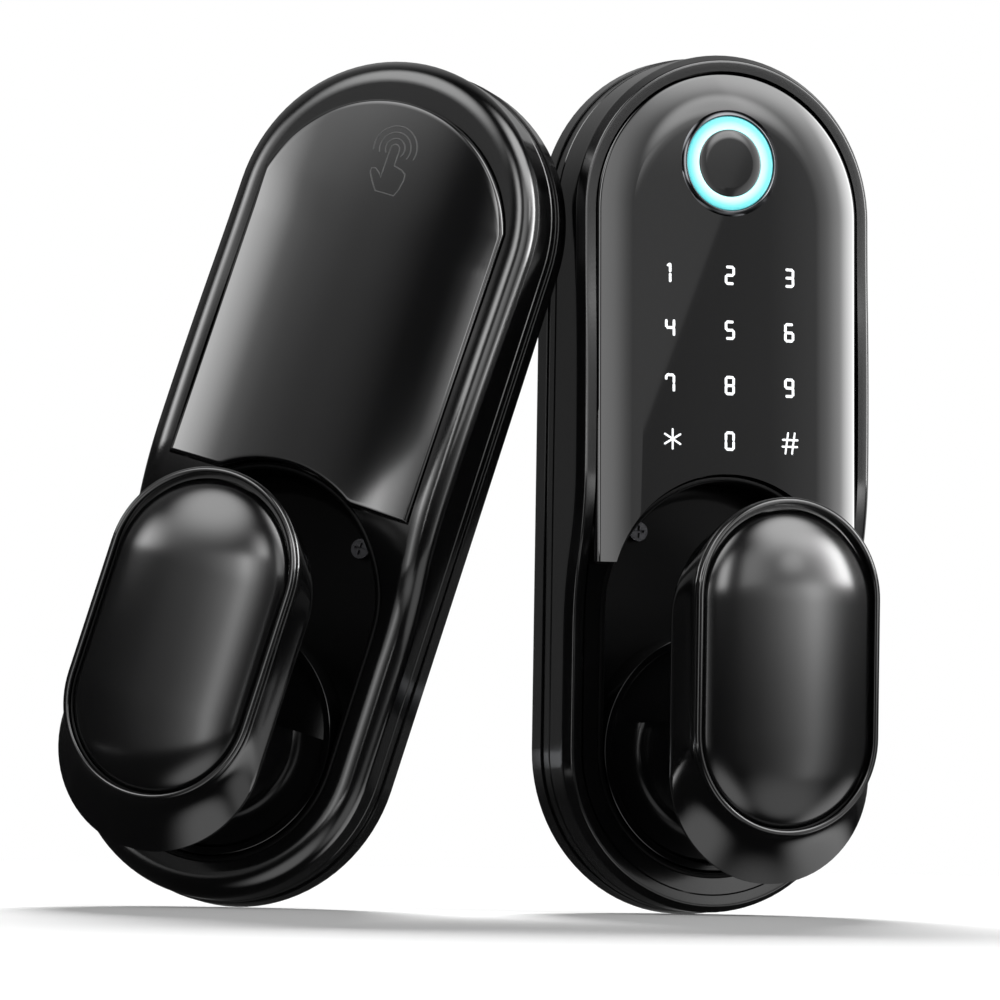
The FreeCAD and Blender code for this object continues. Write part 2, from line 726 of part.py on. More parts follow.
def interior_place():
    bearing = math.radians(PAIR_BEARING)
    forward = V(-math.sin(bearing), -math.cos(bearing), 0)
    side = V(math.cos(bearing), -math.sin(bearing), 0)
    turn = FreeCAD.Rotation(V(0, 0, 1), -PAIR_BEARING - INTERIOR_BEARING)
    lean = FreeCAD.Rotation(forward, -INTERIOR_LEAN)
    rotation = lean.multiply(turn)
    door_normal = rotation.multVec(V(0, 1, 0))
    foot = PLATE_R * (math.sqrt(1 - door_normal.z ** 2) - 1)
    leaning = CENTRES_APART * math.sin(math.radians(INTERIOR_LEAN))
    widths = PLATE_R * (math.cos(bearing) + math.cos(math.radians(INTERIOR_BEARING)))
    place = side * (PAIR_OVERLAP - leaning - widths) + forward * PAIR_FORWARD + V(0, 0, foot)
    return FreeCAD.Placement(place, rotation)


def exterior_pieces():
    opening = panel_outline(PANEL_R + PANEL_GAP, PANEL_BOTTOM_Z - PANEL_GAP)
    ledge = panel_outline(PANEL_R - LEDGE, RECESS_TOP_Z + 2 * LINER_T)
    hub = knob_hub(disc(SLEEVE_R + BODY_GAP, SHAFT_BACK, CYLINDER_BACK))
    return {
        "exterior_gasket": gasket(POST_R),
        "exterior_back_plate": back_plate(POST_R),
        "mounting_posts": mounting_posts(),
        "exterior_housing": housing(opening, ledge, panel_floor()),
        "keypad_panel": keypad_panel(),
        "touch_circuit_board": touch_circuit_board(),
        "fingerprint_bezel": fingerprint_bezel(),
        "light_ring": light_ring(),
        "fingerprint_pad": fingerprint_pad(),
        "fingerprint_module": fingerprint_module(),
        "buzzer": buzzer(),
        "exterior_recess_liner": recess_liner(),
        "exterior_rosette_ring": rosette_ring(),
        "exterior_recess_screws": recess_screws(),
        "exterior_housing_screws": housing_screws(),
        "exterior_bushing": bushing(),
        "exterior_retaining_ring": retaining_ring(),
        "exterior_return_spring": return_spring(),
        "exterior_knob_hub": hub.cut(cylinder_hole()),
        "exterior_knob_head": knob_head().cut(cylinder_hole()),
        "exterior_knob_rim": knob_rim(),
        "exterior_knob_cap": knob_cap(),
        "key_cylinder": key_cylinder(),
        "key_plug": key_plug(),
        "clutch_motor": clutch_motor(),
        "clutch_slider": clutch_slider(),
        "cable_grommet": cable_grommet(),
        "exterior_drive_cam": exterior_drive_cam(),
        "exterior_spindle_socket": exterior_spindle_socket(),
    }


def interior_pieces():
    opening = cover_outline(PANEL_GAP)
    ledge = panel_outline(INNER_R - COVER_LEDGE, RECESS_TOP_Z + 2 * LINER_T)
    return {
        "interior_gasket": gasket(BOLT_HOLE_R),
        "interior_back_plate": back_plate(BOLT_HOLE_R),
        "interior_housing": housing(opening, ledge, cover_floor()),
        "battery_cover": battery_cover(),
        "battery_tray": battery_tray(),
        "battery_cells": battery_cells(),
        "contact_springs": contact_springs(),
        "contact_plates": contact_plates(),
        "main_circuit_board": main_circuit_board(),
        "interior_recess_liner": recess_liner(),
        "interior_rosette_ring": rosette_ring(),
        "interior_recess_screws": recess_screws(),
        "interior_housing_screws": housing_screws(),
        "interior_bushing": bushing(),
        "interior_retaining_ring": retaining_ring(),
        "interior_return_spring": return_spring(),
        "interior_knob_hub": knob_hub(square(SPINDLE_W, SHAFT_BACK, SPINDLE_AHEAD)),
        "interior_knob_head": knob_head(),
        "interior_knob_rim": knob_rim(),
        "interior_knob_cap": knob_cap(),
        "interior_spindle": interior_spindle(),
    }


def main():
    for node, shape in exterior_pieces().items():
        shape.exportStep("parts/" + node + ".step")
    place = interior_place()
    for node, shape in interior_pieces().items():
        shape.Placement = place.multiply(shape.Placement)
        shape.exportStep("parts/" + node + ".step")


main()
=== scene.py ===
import json
import math

import bmesh
import bpy
from mathutils import Matrix, Vector


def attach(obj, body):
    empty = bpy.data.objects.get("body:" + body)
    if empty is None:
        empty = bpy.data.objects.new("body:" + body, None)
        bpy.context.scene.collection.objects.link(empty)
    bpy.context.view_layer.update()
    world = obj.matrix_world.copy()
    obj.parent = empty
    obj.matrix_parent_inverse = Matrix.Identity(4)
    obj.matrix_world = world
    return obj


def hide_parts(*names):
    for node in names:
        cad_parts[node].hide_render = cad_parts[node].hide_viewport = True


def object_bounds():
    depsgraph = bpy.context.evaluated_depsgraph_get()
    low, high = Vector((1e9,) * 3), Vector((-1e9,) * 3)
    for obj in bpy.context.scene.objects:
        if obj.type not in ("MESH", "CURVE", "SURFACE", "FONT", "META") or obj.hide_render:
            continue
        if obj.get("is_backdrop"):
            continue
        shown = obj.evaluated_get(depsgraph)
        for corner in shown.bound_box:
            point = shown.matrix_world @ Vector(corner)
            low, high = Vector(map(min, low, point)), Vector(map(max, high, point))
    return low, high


# Looks of a two-part keypad lock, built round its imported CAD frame.
# Each unit is drawn in its own frame in millimetres: x to the right as its front is seen,
# depth from the door face towards the person who faces it, and z up from the knob's axis.

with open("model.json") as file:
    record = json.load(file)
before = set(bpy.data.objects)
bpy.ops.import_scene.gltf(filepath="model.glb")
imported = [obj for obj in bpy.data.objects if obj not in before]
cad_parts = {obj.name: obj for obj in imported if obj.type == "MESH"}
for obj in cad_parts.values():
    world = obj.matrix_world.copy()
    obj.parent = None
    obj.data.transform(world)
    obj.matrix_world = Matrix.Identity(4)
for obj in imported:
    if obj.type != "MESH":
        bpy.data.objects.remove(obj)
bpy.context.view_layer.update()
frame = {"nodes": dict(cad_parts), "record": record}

MM = 0.001

# Body
CENTRES_APART = 110.2
BODY_R = 33.0
PLATE_FRONT = 5.2
BAND_FRONT = 8.6
LOW_FRONT, HIGH_FRONT, TOP_FRONT = 15.4, 20.5, 18.3
LOW_Z, HIGH_Z, TOP_Z = 24.0, 57.0, 125.0
FACE_STEP = 1.93
GROOVE_R = 29.56
GAP = 0.3

# Keypad panel and battery cover
PANEL_R = 29.25
PANEL_FOOT_Z = 38.0
PANEL_T = 2.6
PANEL_FLAT_R = 20.5
PANEL_DROP = 1.0
PANEL_AHEAD = 2.9
PANEL_EDGE = 0.55
READER_Z = 120.7
GUIDE_INNER_R = 6.85
GUIDE_WIDTH = 2.9
COVER_HALF_W = 27.1
COVER_TOP_R = 28.3
COVER_TOP_CENTRE_Z = 105.7
COVER_FOOT_Z = 52.2
COVER_CROWN = 2.9
COVER_POWER = 2.6
COVER_AHEAD = 2.5
COVER_BACK = 1.6
COVER_EDGE = 0.7
COVER_ROWS = 44

# Recess and knob
RECESS_HIGH_Z = 30.4
RECESS_FLOOR = 7.1
LIP_R = 26.0
PANEL_RECESS_R = 26.3
LINER_BORE_R = 11.15
NECK_TOP = 5.6
CYLINDER_BORE_R = 7.3
SPINDLE_BORE_R = 4.0
SKIRT = (22.0, -4.9, 26.0)
RIM = (20.3, 2.9, 30.6)
CAP_LINE = (18.75, 2.9, 29.6)
HEAD_BACK = 43.0
HEAD_FLARE = (44.8, 51.1)
HEAD_WELL = 46.0
CAP_BASE = 51.4
CAP_RISE = 5.1

# A cutter carried this far forward has left every piece
CLEAR = 60.0


def s_bend(z, z0, depth0, z1, depth1):
    """Two equal arcs that carry one depth to the other."""
    share = (z - z0) / (z1 - z0)
    far = share > 0.5
    run = (1 - share if far else share) * abs(z1 - z0)
    half_run = abs(z1 - z0) / 2
    rise = abs(depth1 - depth0) / 2
    radius = (half_run * half_run + rise * rise) / (2 * rise)
    lift = math.copysign(radius - math.sqrt(radius * radius - run * run), depth1 - depth0)
    return depth1 - lift if far else depth0 + lift


def front(z):
    """Depth of the housing's front edge at height z."""
    if z >= TOP_Z:
        return TOP_FRONT
    if z >= HIGH_Z:
        return s_bend(z, TOP_Z, TOP_FRONT, HIGH_Z, HIGH_FRONT)
    if z >= LOW_Z:
        return s_bend(z, HIGH_Z, HIGH_FRONT, LOW_Z, LOW_FRONT)
    return LOW_FRONT


def from_spine(x, z, low=0.0, high=CENTRES_APART):
    return math.hypot(x, z - min(max(z, low), high))


def straight_front(z):
    """The line from the high point of the front edge to its top, carried on at both ends."""
    return HIGH_FRONT - (z - HIGH_Z) * (HIGH_FRONT - TOP_FRONT) / (TOP_Z - HIGH_Z)


def panel_front(x, z):
    """Depth of the glass: straight lengthways, flat in the middle, rolled off towards its edge."""
    rolled = max(0.0, from_spine(x, z) - PANEL_FLAT_R) / (PANEL_R - PANEL_FLAT_R)
    return straight_front(z) + PANEL_AHEAD - PANEL_DROP * rolled ** 2


def cover_front(x, z):
    """Depth of the battery cover: crowned across, and rolled off at its round top."""
    above = max(0.0, z - COVER_TOP_CENTRE_Z)
    half = COVER_HALF_W + (COVER_TOP_R - COVER_HALF_W) * min(1.0, above / 8.0)
    share = min(1.0, math.hypot(x, 0.4 * above) / half)
    return straight_front(z) + COVER_AHEAD + COVER_CROWN * (1 - share ** COVER_POWER)


def rounded(distance, radius):
    """How far a rounded edge of this radius has dropped at a distance inside the outline."""
    if distance >= radius:
        return 0.0
    return radius - math.sqrt(radius * radius - (radius - max(0.0, distance)) ** 2)


class Shape:
    """Points and faces in a unit's frame."""

    def __init__(self):
        self.points = []
        self.faces = []

    def loft(self, rings, around=True, looped=False):
        starts = []
        for ring in rings:
            starts.append(len(self.points))
            self.points.extend(ring)
        count = len(rings[0])
        pairs = list(zip(starts, starts[1:]))
        if looped:
            pairs.append((starts[-1], starts[0]))
        for a, b in pairs:
            for i in range(count if around else count - 1):
                j = (i + 1) % count
                self.faces.append((a + i, a + j, b + j, b + i))
        return self

    def close(self, ring_start, count, backwards=False):
        ring = list(range(ring_start, ring_start + count))
        self.faces.append(tuple(reversed(ring) if backwards else ring))
        return self


def stadium(radius, low, high, depth, arc=48, side=56):
    """One closed outline; depth is a number, or a function of (x, z)."""
    flat = []
    for i in range(arc):
        angle = math.pi * i / arc
        flat.append((radius * math.cos(angle), high + radius * math.sin(angle)))
    for i in range(side):
        flat.append((-radius, high + (low - high) * i / side))
    for i in range(arc):
        angle = math.pi + math.pi * i / arc
        flat.append((radius * math.cos(angle), low + radius * math.sin(angle)))
    for i in range(side):
        flat.append((radius, low + (high - low) * i / side))
    return [(x, depth(x, z) if callable(depth) else depth, z) for x, z in flat]


def flat_points(ring):
    """A ring's (x, z) pairs, for a cutter."""
    return [(x, z) for x, _, z in ring]


def circle(radius, depth, centre_z=0.0, count=96):
    flat = []
    for i in range(count):
        angle = 2 * math.pi * i / count
        flat.append((radius * math.cos(angle), centre_z + radius * math.sin(angle)))
    return [(x, depth(x, z) if callable(depth) else depth, z) for x, z in flat]


def d_outline(radius, top, depth, arc=80, chord=24):
    """A round with its upper side cut straight at height top."""
    edge = math.asin(min(1.0, top / radius))
    ring = []
    for i in range(arc + 1):
        angle = math.pi - edge + (math.pi + 2 * edge) * i / arc
        ring.append((radius * math.cos(angle), depth, radius * math.sin(angle)))
    reach = radius * math.cos(edge)
    for i in range(1, chord):
        ring.append((reach - 2 * reach * i / chord, depth, radius * math.sin(edge)))
    return ring


def follow(ahead):
    """A depth that stays this far ahead of the housing's front edge."""
    return lambda x, z: front(z) + ahead


class Unit:
    """One half of the lock: the prefix of its CAD nodes, and where it stands."""

    def __init__(self, prefix, matrix):
        self.prefix = prefix
        self.matrix = matrix

    def name(self, piece):
        return self.prefix + "_" + piece


def mesh_object(name, shape):
    mesh = bpy.data.meshes.new(name)
    mesh.from_pydata([(x * MM, -depth * MM, z * MM) for x, depth, z in shape.points], [], shape.faces)
    work = bmesh.new()
    work.from_mesh(mesh)
    bmesh.ops.remove_doubles(work, verts=work.verts, dist=1e-6)
    bmesh.ops.dissolve_degenerate(work, edges=work.edges, dist=1e-7)
    bmesh.ops.recalc_face_normals(work, faces=work.faces)
    work.to_mesh(mesh)
    work.free()
    thing = bpy.data.objects.new(name, mesh)
    bpy.context.scene.collection.objects.link(thing)
    return thing


def applied(thing):
    """The object with its modifiers turned into plain mesh."""
    evaluated = thing.evaluated_get(bpy.context.evaluated_depsgraph_get())
    mesh = bpy.data.meshes.new_from_object(evaluated)
    thing.modifiers.clear()
    old = thing.data
    thing.data = mesh
    bpy.data.meshes.remove(old)
    mesh.name = thing.name
    return thing


def carve(thing, cutters):
    """Cuts closed shapes out of a piece, one after another."""
    for index, shape in enumerate(cutters):
        cutter = mesh_object(thing.name + "_cutter" + str(index), shape)
        cut = thing.modifiers.new("cut", "BOOLEAN")
        cut.operation = "DIFFERENCE"
        cut.solver = "EXACT"
        cut.object = cutter
        bpy.context.view_layer.update()
        applied(thing)
        mesh = cutter.data
        bpy.data.objects.remove(cutter)
        bpy.data.meshes.remove(mesh)
    return thing


def place(thing, unit, body, finish, nodes=(), crisp=32.0):
    """Puts a finished piece where its unit stands and hands it to the frame."""
    mesh = thing.data
    mesh.transform(unit.matrix)
    mesh.materials.clear()
    mesh.materials.append(finish)
    for face in mesh.polygons:
        face.material_index = 0
    mesh.shade_smooth()
    mesh.set_sharp_from_angle(angle=math.radians(crisp))
    mesh.update()
    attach(thing, body)
    if nodes:
        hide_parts(*nodes)
    return thing


def prism(outline, back, ahead):
    """A straight cutter: an outline's points carried from back to ahead."""
    shape = Shape()
    count = len(outline)
    shape.loft([[(x, back, z) for x, z in outline], [(x, ahead, z) for x, z in outline]])
    shape.close(0, count, True)
    return shape.close(count, count)


# Finishes


class Field:
    """A shader socket that arithmetic can be written on."""

    def __init__(self, tree, socket=None):
        self.tree = tree
        self.socket = socket

    def node(self, kind, settings=None, inputs=None, output=0):
        made = self.tree.nodes.new(kind)
        for key, value in (settings or {}).items():
            if key == "stops":
                ramp = made.color_ramp
                while len(ramp.elements) < len(value):
                    ramp.elements.new(1.0)
                for element, (position, colour) in zip(ramp.elements, value):
                    element.position = position
                    element.color = (*colour, 1.0)
            else:
                setattr(made, key, value)
        for key, value in (inputs or {}).items():
            if isinstance(value, Field):
                self.tree.links.new(value.socket, made.inputs[key])
            else:
                made.inputs[key].default_value = value
        return Field(self.tree, made.outputs[output])

    def maths(self, operation, *values):
        return self.node("ShaderNodeMath", {"operation": operation}, dict(enumerate(values)))

    def __add__(self, other):
        return self.maths("ADD", self, other)

    def __sub__(self, other):
        return self.maths("SUBTRACT", self, other)

    def __rsub__(self, other):
        return self.maths("SUBTRACT", other, self)

    def __mul__(self, other):
        return self.maths("MULTIPLY", self, other)

    def __truediv__(self, other):
        return self.maths("DIVIDE", self, other)

    __radd__ = __add__
    __rmul__ = __mul__

    def step(self, low, high):
        """0 below low, 1 above high, eased between them."""
        settings = {"interpolation_type": "SMOOTHSTEP"}
        return self.node("ShaderNodeMapRange", settings, {"Value": self, "From Min": low, "From Max": high})

    def blend(self, first, second):
        """Colour first where this is 0, and second where it is 1."""
        return self.node("ShaderNodeMix", {"data_type": "RGBA"}, {0: self, 6: first, 7: second}, 2)

    def place(self):
        return self.node("ShaderNodeTexCoord", output=3)

    def parts(self, vector):
        made = self.node("ShaderNodeSeparateXYZ", None, {"Vector": vector}).socket.node
        return [Field(self.tree, part) for part in made.outputs]

    def noise(self, scale, detail=2.0, stretch=(1.0, 1.0, 1.0)):
        where = self.node("ShaderNodeMapping", None, {"Vector": self.place(), "Scale": stretch})
        return self.node("ShaderNodeTexNoise", None, {"Vector": where, "Scale": scale, "Detail": detail})

    def bump(self, height, strength, distance):
        inputs = {"Height": height, "Strength": strength, "Distance": distance}
        return self.node("ShaderNodeBump", None, inputs)


def colour(value):
    return (*value, 1.0)


def new_material(name):
    material = bpy.data.materials.new(name)
    material.use_nodes = True
    material.node_tree.nodes.clear()
    return material, Field(material.node_tree)


def output(field, shader):
    end = field.tree.nodes.new("ShaderNodeOutputMaterial")
    field.tree.links.new(shader.socket, end.inputs["Surface"])


def principled(field, constants, varying):
    return field.node("ShaderNodeBsdfPrincipled", None, {**constants, **varying})


def shades(tone, low, high=1.0):
    """A tone darkened and lightened by two factors."""
    return [colour([channel * factor for channel in tone]) for factor in (low, high)]


def coated(name, tone, rough, peel=0.0, metallic=0.0, spread=0.25, grain=1500.0, specular=0.5):
    """A dark smooth finish: faint cloudiness in its tone and gloss, and a fine orange peel."""
    material, field = new_material(name)
    cloud = field.noise(45.0, 3.0)
    fine = field.noise(grain, 2.0)
    varying = {
        "Base Color": cloud.blend(*shades(tone, 1 - spread, 1 + spread)),
        "Roughness": rough * (0.8 + 0.25 * cloud + 0.15 * fine),
    }
    if peel:
        varying["Normal"] = field.bump(fine + 0.5 * field.noise(grain / 5), peel, 0.0002)
    constants = {"Metallic": metallic, "IOR": 1.5, "Specular IOR Level": specular}
    output(field, principled(field, constants, varying))
    return material


def brushed(name, tone, rough, along=(1.0, 1.0, 12.0), metallic=1.0):
    """Worked metal with fine drawn lines."""
    material, field = new_material(name)
    lines = field.noise(700.0, 2.0, along)
    cloud = field.noise(60.0, 3.0)
    varying = {
        "Base Color": (0.5 * lines + 0.5 * cloud).blend(*shades(tone, 0.8)),
        "Roughness": rough * (0.75 + 0.5 * lines),
        "Normal": field.bump(lines, 0.15, 0.0001),
    }
    output(field, principled(field, {"Metallic": metallic}, varying))
    return material


def moulded(name, tone, rough, grain=2500.0, depth=0.2, specular=0.5):
    """Moulded plastic or rubber with a fine texture."""
    material, field = new_material(name)
    fine = field.noise(grain, 3.0)
    cloud = field.noise(50.0, 2.0)
    varying = {
        "Base Color": cloud.blend(*shades(tone, 0.75)),
        "Roughness": rough * (0.85 + 0.3 * fine),
        "Normal": field.bump(fine, depth, 0.0002),
    }
    output(field, principled(field, {"Specular IOR Level": specular}, varying))
    return material


def board_finish(name):
    """Green solder mask with paler tracks."""
    material, field = new_material(name)
    cells = field.node("ShaderNodeTexVoronoi", {"feature": "DISTANCE_TO_EDGE"},
                       {"Vector": field.place(), "Scale": 260.0})
    tracks = 1.0 - cells.step(0.03, 0.09)
    fine = field.noise(2500.0)
    varying = {
        "Base Color": tracks.blend(colour((0.01, 0.075, 0.03)), colour((0.03, 0.16, 0.06))),
        "Roughness": 0.32 + 0.15 * fine,
        "Normal": field.bump(tracks, 0.3, 0.0002),
    }
    output(field, principled(field, {}, varying))
    return material


def lit_ring_finish(name):
    """The light guide round the sensor: cyan outside, near white inside, with dark teal edges."""
    material, field = new_material(name)
    across, _, height = field.parts(field.place())
    along = height - READER_Z * MM
    square = across * across + along * along
    share = (square.maths("SQRT", square) - GUIDE_INNER_R * MM) / (GUIDE_WIDTH * MM)
    stops = [(0.0, (0.02, 0.30, 0.32)), (0.10, (0.60, 0.97, 0.96)), (0.42, (0.42, 0.90, 0.89)),
             (0.66, (0.13, 0.66, 0.68)), (0.92, (0.05, 0.48, 0.51)), (1.0, (0.01, 0.10, 0.12))]
    glow = share.node("ShaderNodeValToRGB", {"stops": stops}, {"Fac": share})
    haze = field.noise(900.0)
    constants = {"Emission Strength": 1.0}
    varying = {
        "Base Color": share.blend(colour((0.3, 0.5, 0.5)), colour((0.05, 0.3, 0.32))),
        "Roughness": 0.25 + 0.1 * haze,
        "Emission Color": glow,
    }
    output(field, principled(field, constants, varying))
    return material


def legend_finish(name, tone, strength):
    """Lit legend ink: slightly uneven, so that it glows like a real backlit mark."""
    material, field = new_material(name)
    cloud = field.noise(1200.0)
    glow = cloud.blend(*shades(tone, 0.88))
    output(field, principled(field, {"Emission Strength": strength, "Specular IOR Level": 0.2},
                             {"Base Color": glow, "Emission Color": glow, "Roughness": 0.4 + 0.1 * cloud}))
    return material


BLACK = (0.0026, 0.0026, 0.0028)
FINISHES = {
    "panel_black": coated("panel_glass", (0.0022, 0.0022, 0.0026), 0.015, grain=900.0),
    "cover_black": coated("cover_gloss", (0.0022, 0.0022, 0.0025), 0.1),
    "housing_black": coated("housing_gloss", BLACK, 0.13, peel=0.012),
    "liner_black": moulded("liner_satin", (0.0016, 0.0016, 0.0017), 0.3, depth=0.05, specular=0.05),
    "ring_black": coated("ring_gloss", BLACK, 0.12, specular=0.35),
    "knob_black": coated("knob_gloss", BLACK, 0.13, peel=0.012, specular=0.45),
    "rim_black": coated("rim_gloss", BLACK, 0.10),
    "cap_black": coated("cap_gloss", (0.0028, 0.0028, 0.003), 0.18),
    "pad_black": coated("pad_gloss", (0.0022, 0.0022, 0.0026), 0.03, grain=900.0),
    "bezel_dark_chrome": coated("bezel_chrome", (0.05, 0.051, 0.054), 0.1, metallic=1.0),
    "light_cyan": lit_ring_finish("light_guide"),
    "seal_rubber": moulded("seal_rubber", (0.012, 0.012, 0.012), 0.7),
    "cylinder_brass": brushed("cylinder_brass", (0.72, 0.5, 0.2), 0.3),
    "board_green": board_finish("board_green"),
    "cell_wrap": moulded("cell_wrap", (0.05, 0.052, 0.06), 0.35, grain=1200.0, depth=0.05),
    "works_grey": moulded("works_grey", (0.16, 0.16, 0.17), 0.5),
    "bushing_plastic": moulded("bushing_plastic", (0.55, 0.54, 0.5), 0.45),
    "contact_nickel": brushed("contact_nickel", (0.68, 0.66, 0.62), 0.28),
    "steel": brushed("zinc_steel", (0.5, 0.51, 0.53), 0.34),
}
SCREW_FINISH = brushed("screw_black", (0.03, 0.03, 0.032), 0.3)
HUB_FINISH = coated("hub_satin", BLACK, 0.2, specular=0.16)
PLATE_FINISH = coated("plate_gloss", BLACK, 0.16, peel=0.01)


# The pieces of one unit


CHAMFERED = ((33.0, -1.2), (33.0, -0.35), (32.95, -0.08), (32.86, 0.08), (31.95, 1.62), (31.86, 1.77),
             (31.74, 1.87), (31.56, 1.92), (31.3, FACE_STEP))
ROLLED = tuple((28.0 + 5.0 * math.cos(math.radians(a)), -2.07 + 4.0 * math.sin(math.radians(a)))
               for a in range(0, 91, 6))


def housing(unit, edge, openings, nodes):
    """The casting: a band, a shadow groove, the wall, and a chamfered or rolled front edge."""
    band = [(30.2, 0.0), (32.3, 0.0), (32.3, 0.4), (32.85, 0.45), (BODY_R, 0.6)]
    shadow_line = [(BODY_R, -0.2), (32.85, -0.03), (32.3, 0.0), (32.3, 0.38), (32.85, 0.42),
                   (BODY_R, 0.6)]
    outside = [(radius, PLATE_FRONT + ahead) for radius, ahead in band]
    outside += [(radius, BAND_FRONT + ahead) for radius, ahead in shadow_line]
    swept = list(edge)
    inside = edge[-1][0]
    swept += [(radius, FACE_STEP) for radius in (30.4, 29.6, 28.8, 27.9, 27, 26, 25, 24, 22, 18, 12, 5, 0)
              if radius < inside]
    rings = [stadium(radius, 0, CENTRES_APART, depth) for radius, depth in outside]
    rings += [stadium(radius, 0, CENTRES_APART, follow(ahead)) for radius, ahead in swept]
    rings = [stadium(0, 0, CENTRES_APART, PLATE_FRONT)] + rings
    thing = mesh_object(unit.name("housing_shell"), Shape().loft(rings))
    recess = flat_points(stadium(LIP_R, 0, RECESS_HIGH_Z, 0))
    carve(thing, [prism(recess, RECESS_FLOOR - 0.1, CLEAR)] + openings)
    return place(thing, unit, "lock_body", FINISHES["housing_black"], nodes)


def liner(unit):
    """The tub of the recess: a rolled lip, a straight wall and a rounded foot."""
    lip = [(25.95, 1.2), (25.95, 1.75), (25.85, 1.98), (25.6, 2.1), (25.1, 2.1), (24.85, 1.98),
           (24.68, 1.7), (24.6, 1.2)]
    foot = [(24.6, 12.6), (24.55, 11.4), (24.25, 10.3), (23.6, 9.4), (22.6, 8.8), (21.4, 8.5)]
    rings = [stadium(radius, 0, RECESS_HIGH_Z, RECESS_FLOOR) for radius in (0, 25.95)]
    rings += [stadium(radius, 0, RECESS_HIGH_Z, follow(ahead)) for radius, ahead in lip]
    rings += [stadium(radius, 0, RECESS_HIGH_Z, depth) for radius, depth in foot]
    rings += [stadium(0, 0, RECESS_HIGH_Z, 8.5)]
    thing = mesh_object(unit.name("recess_tub"), Shape().loft(rings))
    carve(thing, [prism(flat_points(circle(LINER_BORE_R, 0)), 5.0, 10.0)])
    return place(thing, unit, "lock_body", FINISHES["liner_black"],
                 [unit.name("recess_liner")], 40)


def rosette(unit):
    """The ring round the knob's hub, with fine turned lines on its lip."""
    lines = [(22.9, 8.5), (22.9, 17.15), (23.0, 17.34), (23.15, 17.4)]
    for start in (23.3, 23.65, 24.0):
        lines += [(start, 17.4), (start + 0.05, 17.27), (start + 0.1, 17.27), (start + 0.15, 17.4)]
    lines += [(24.25, 17.4), (24.36, 17.33), (24.4, 17.2), (24.4, 8.5)]
    rings = [circle(radius, depth, count=128) for radius, depth in lines]
    thing = mesh_object(unit.name("turned_ring"), Shape().loft(rings, looped=True))
    return place(thing, unit, "lock_body", FINISHES["ring_black"],
                 [unit.name("rosette_ring")])


def hub(unit, bore):
    """The knob's base: a disc, a half-round step and the half-round neck that carries the head."""
    disc = [(bore, 5.5), (9.0, 5.5), (9.0, 9.0), (22.3, 9.0), (22.6, 9.3), (22.6, 12.4), (22.45, 12.8),
            (22.1, 13.0), (bore, 13.0)]
    base = Shape().loft([circle(radius, depth) for radius, depth in disc], looped=True)
    neck = [(22.5, 12.98), (22.5, 15.5), (22.38, 15.82), (22.1, 16.0), (18.6, 16.0), (17.3, 16.15),
            (16.45, 16.65), (15.95, 17.5), (15.8, 18.6), (15.8, 43.1)]
    body = Shape().loft([d_outline(radius, NECK_TOP, depth) for radius, depth in neck])
    count = len(d_outline(1, 1, 0))
    body.close(0, count, True).close(len(body.points) - count, count)
    thing = mesh_object(unit.name("knob_neck"), body)
    if bore == CYLINDER_BORE_R:
        carve(thing, [prism(flat_points(circle(bore, 0)), 12.0, 20.0)])
    rides_on = unit.name("knob")
    place(mesh_object(unit.name("knob_base"), base), unit, rides_on, HUB_FINISH)
    return place(thing, unit, rides_on, HUB_FINISH, [unit.name("knob_hub")])


def head(unit):
    """The knob's skirt: a bell that flares from the rim down and back to a rolled edge."""
    def ring(radius, line, depth):
        return stadium(radius, line[1], line[2], depth, 40, 20)

    back = [(0, 0.0), (20.6, 0.0), (21.5, 0.12), (21.9, 0.5), (22.0, 1.1)]
    rings = [ring(radius, SKIRT, HEAD_BACK + ahead) for radius, ahead in back]
    steps = 12
    low, high = HEAD_FLARE
    for index in range(steps + 1):
        share = index / steps
        ease = 1 - (1 - share) ** 1.45
        line = [a + (b - a) * ease for a, b in zip(SKIRT, RIM)]
        rings.append(ring(line[0], line, low + (high - low) * share))
    well = [(20.15, 51.32), (19.8, 51.4), (18.1, 51.4), (18.1, HEAD_WELL), (0, HEAD_WELL)]
    rings += [ring(radius, RIM, depth) for radius, depth in well]
    thing = mesh_object(unit.name("knob_skirt"), Shape().loft(rings))
    return place(thing, unit, unit.name("knob"), FINISHES["knob_black"],
                 [unit.name("knob_head")])


def rim(unit):
    """The bright-edged trim ring between the skirt and the cap."""
    lines = [(18.95, 51.5), (19.9, 51.5), (20.18, 51.62), (20.3, 51.9), (20.3, 52.5), (20.2, 52.9),
             (19.95, 53.2), (19.6, 53.32), (19.25, 53.27), (19.02, 53.1), (18.95, 52.85)]
    rings = [stadium(radius, RIM[1], RIM[2], depth, 48, 20) for radius, depth in lines]
    thing = mesh_object(unit.name("knob_trim"), Shape().loft(rings, looped=True))
    return place(thing, unit, unit.name("knob"), FINISHES["rim_black"],
                 [unit.name("knob_rim")], 50)


def cap(unit, body):
    """The pillow-shaped cap, with the skirt that snaps into the head's well."""
    edge = CAP_LINE[0]
    lines = [(0, 50.6), (16.2, 50.6), (16.2, 50.4), (17.6, 50.4), (17.6, 50.9), (edge - 0.1, 50.9),
             (edge, 51.1)]
    for share in (1.0, 0.998, 0.993, 0.985, 0.97, 0.95, 0.92, 0.88, 0.83, 0.77, 0.7, 0.62, 0.53, 0.43,
                  0.32, 0.2, 0.1, 0.0):
        lines.append((edge * share, CAP_BASE + CAP_RISE * (1 - share ** 2.2) ** 0.62))
    rings = [stadium(radius, CAP_LINE[1], CAP_LINE[2], depth, 48, 24) for radius, depth in lines]
    thing = mesh_object(unit.name("knob_pillow"), Shape().loft(rings))
    return place(thing, unit, body, FINISHES["cap_black"], [unit.name("knob_cap")], 45)


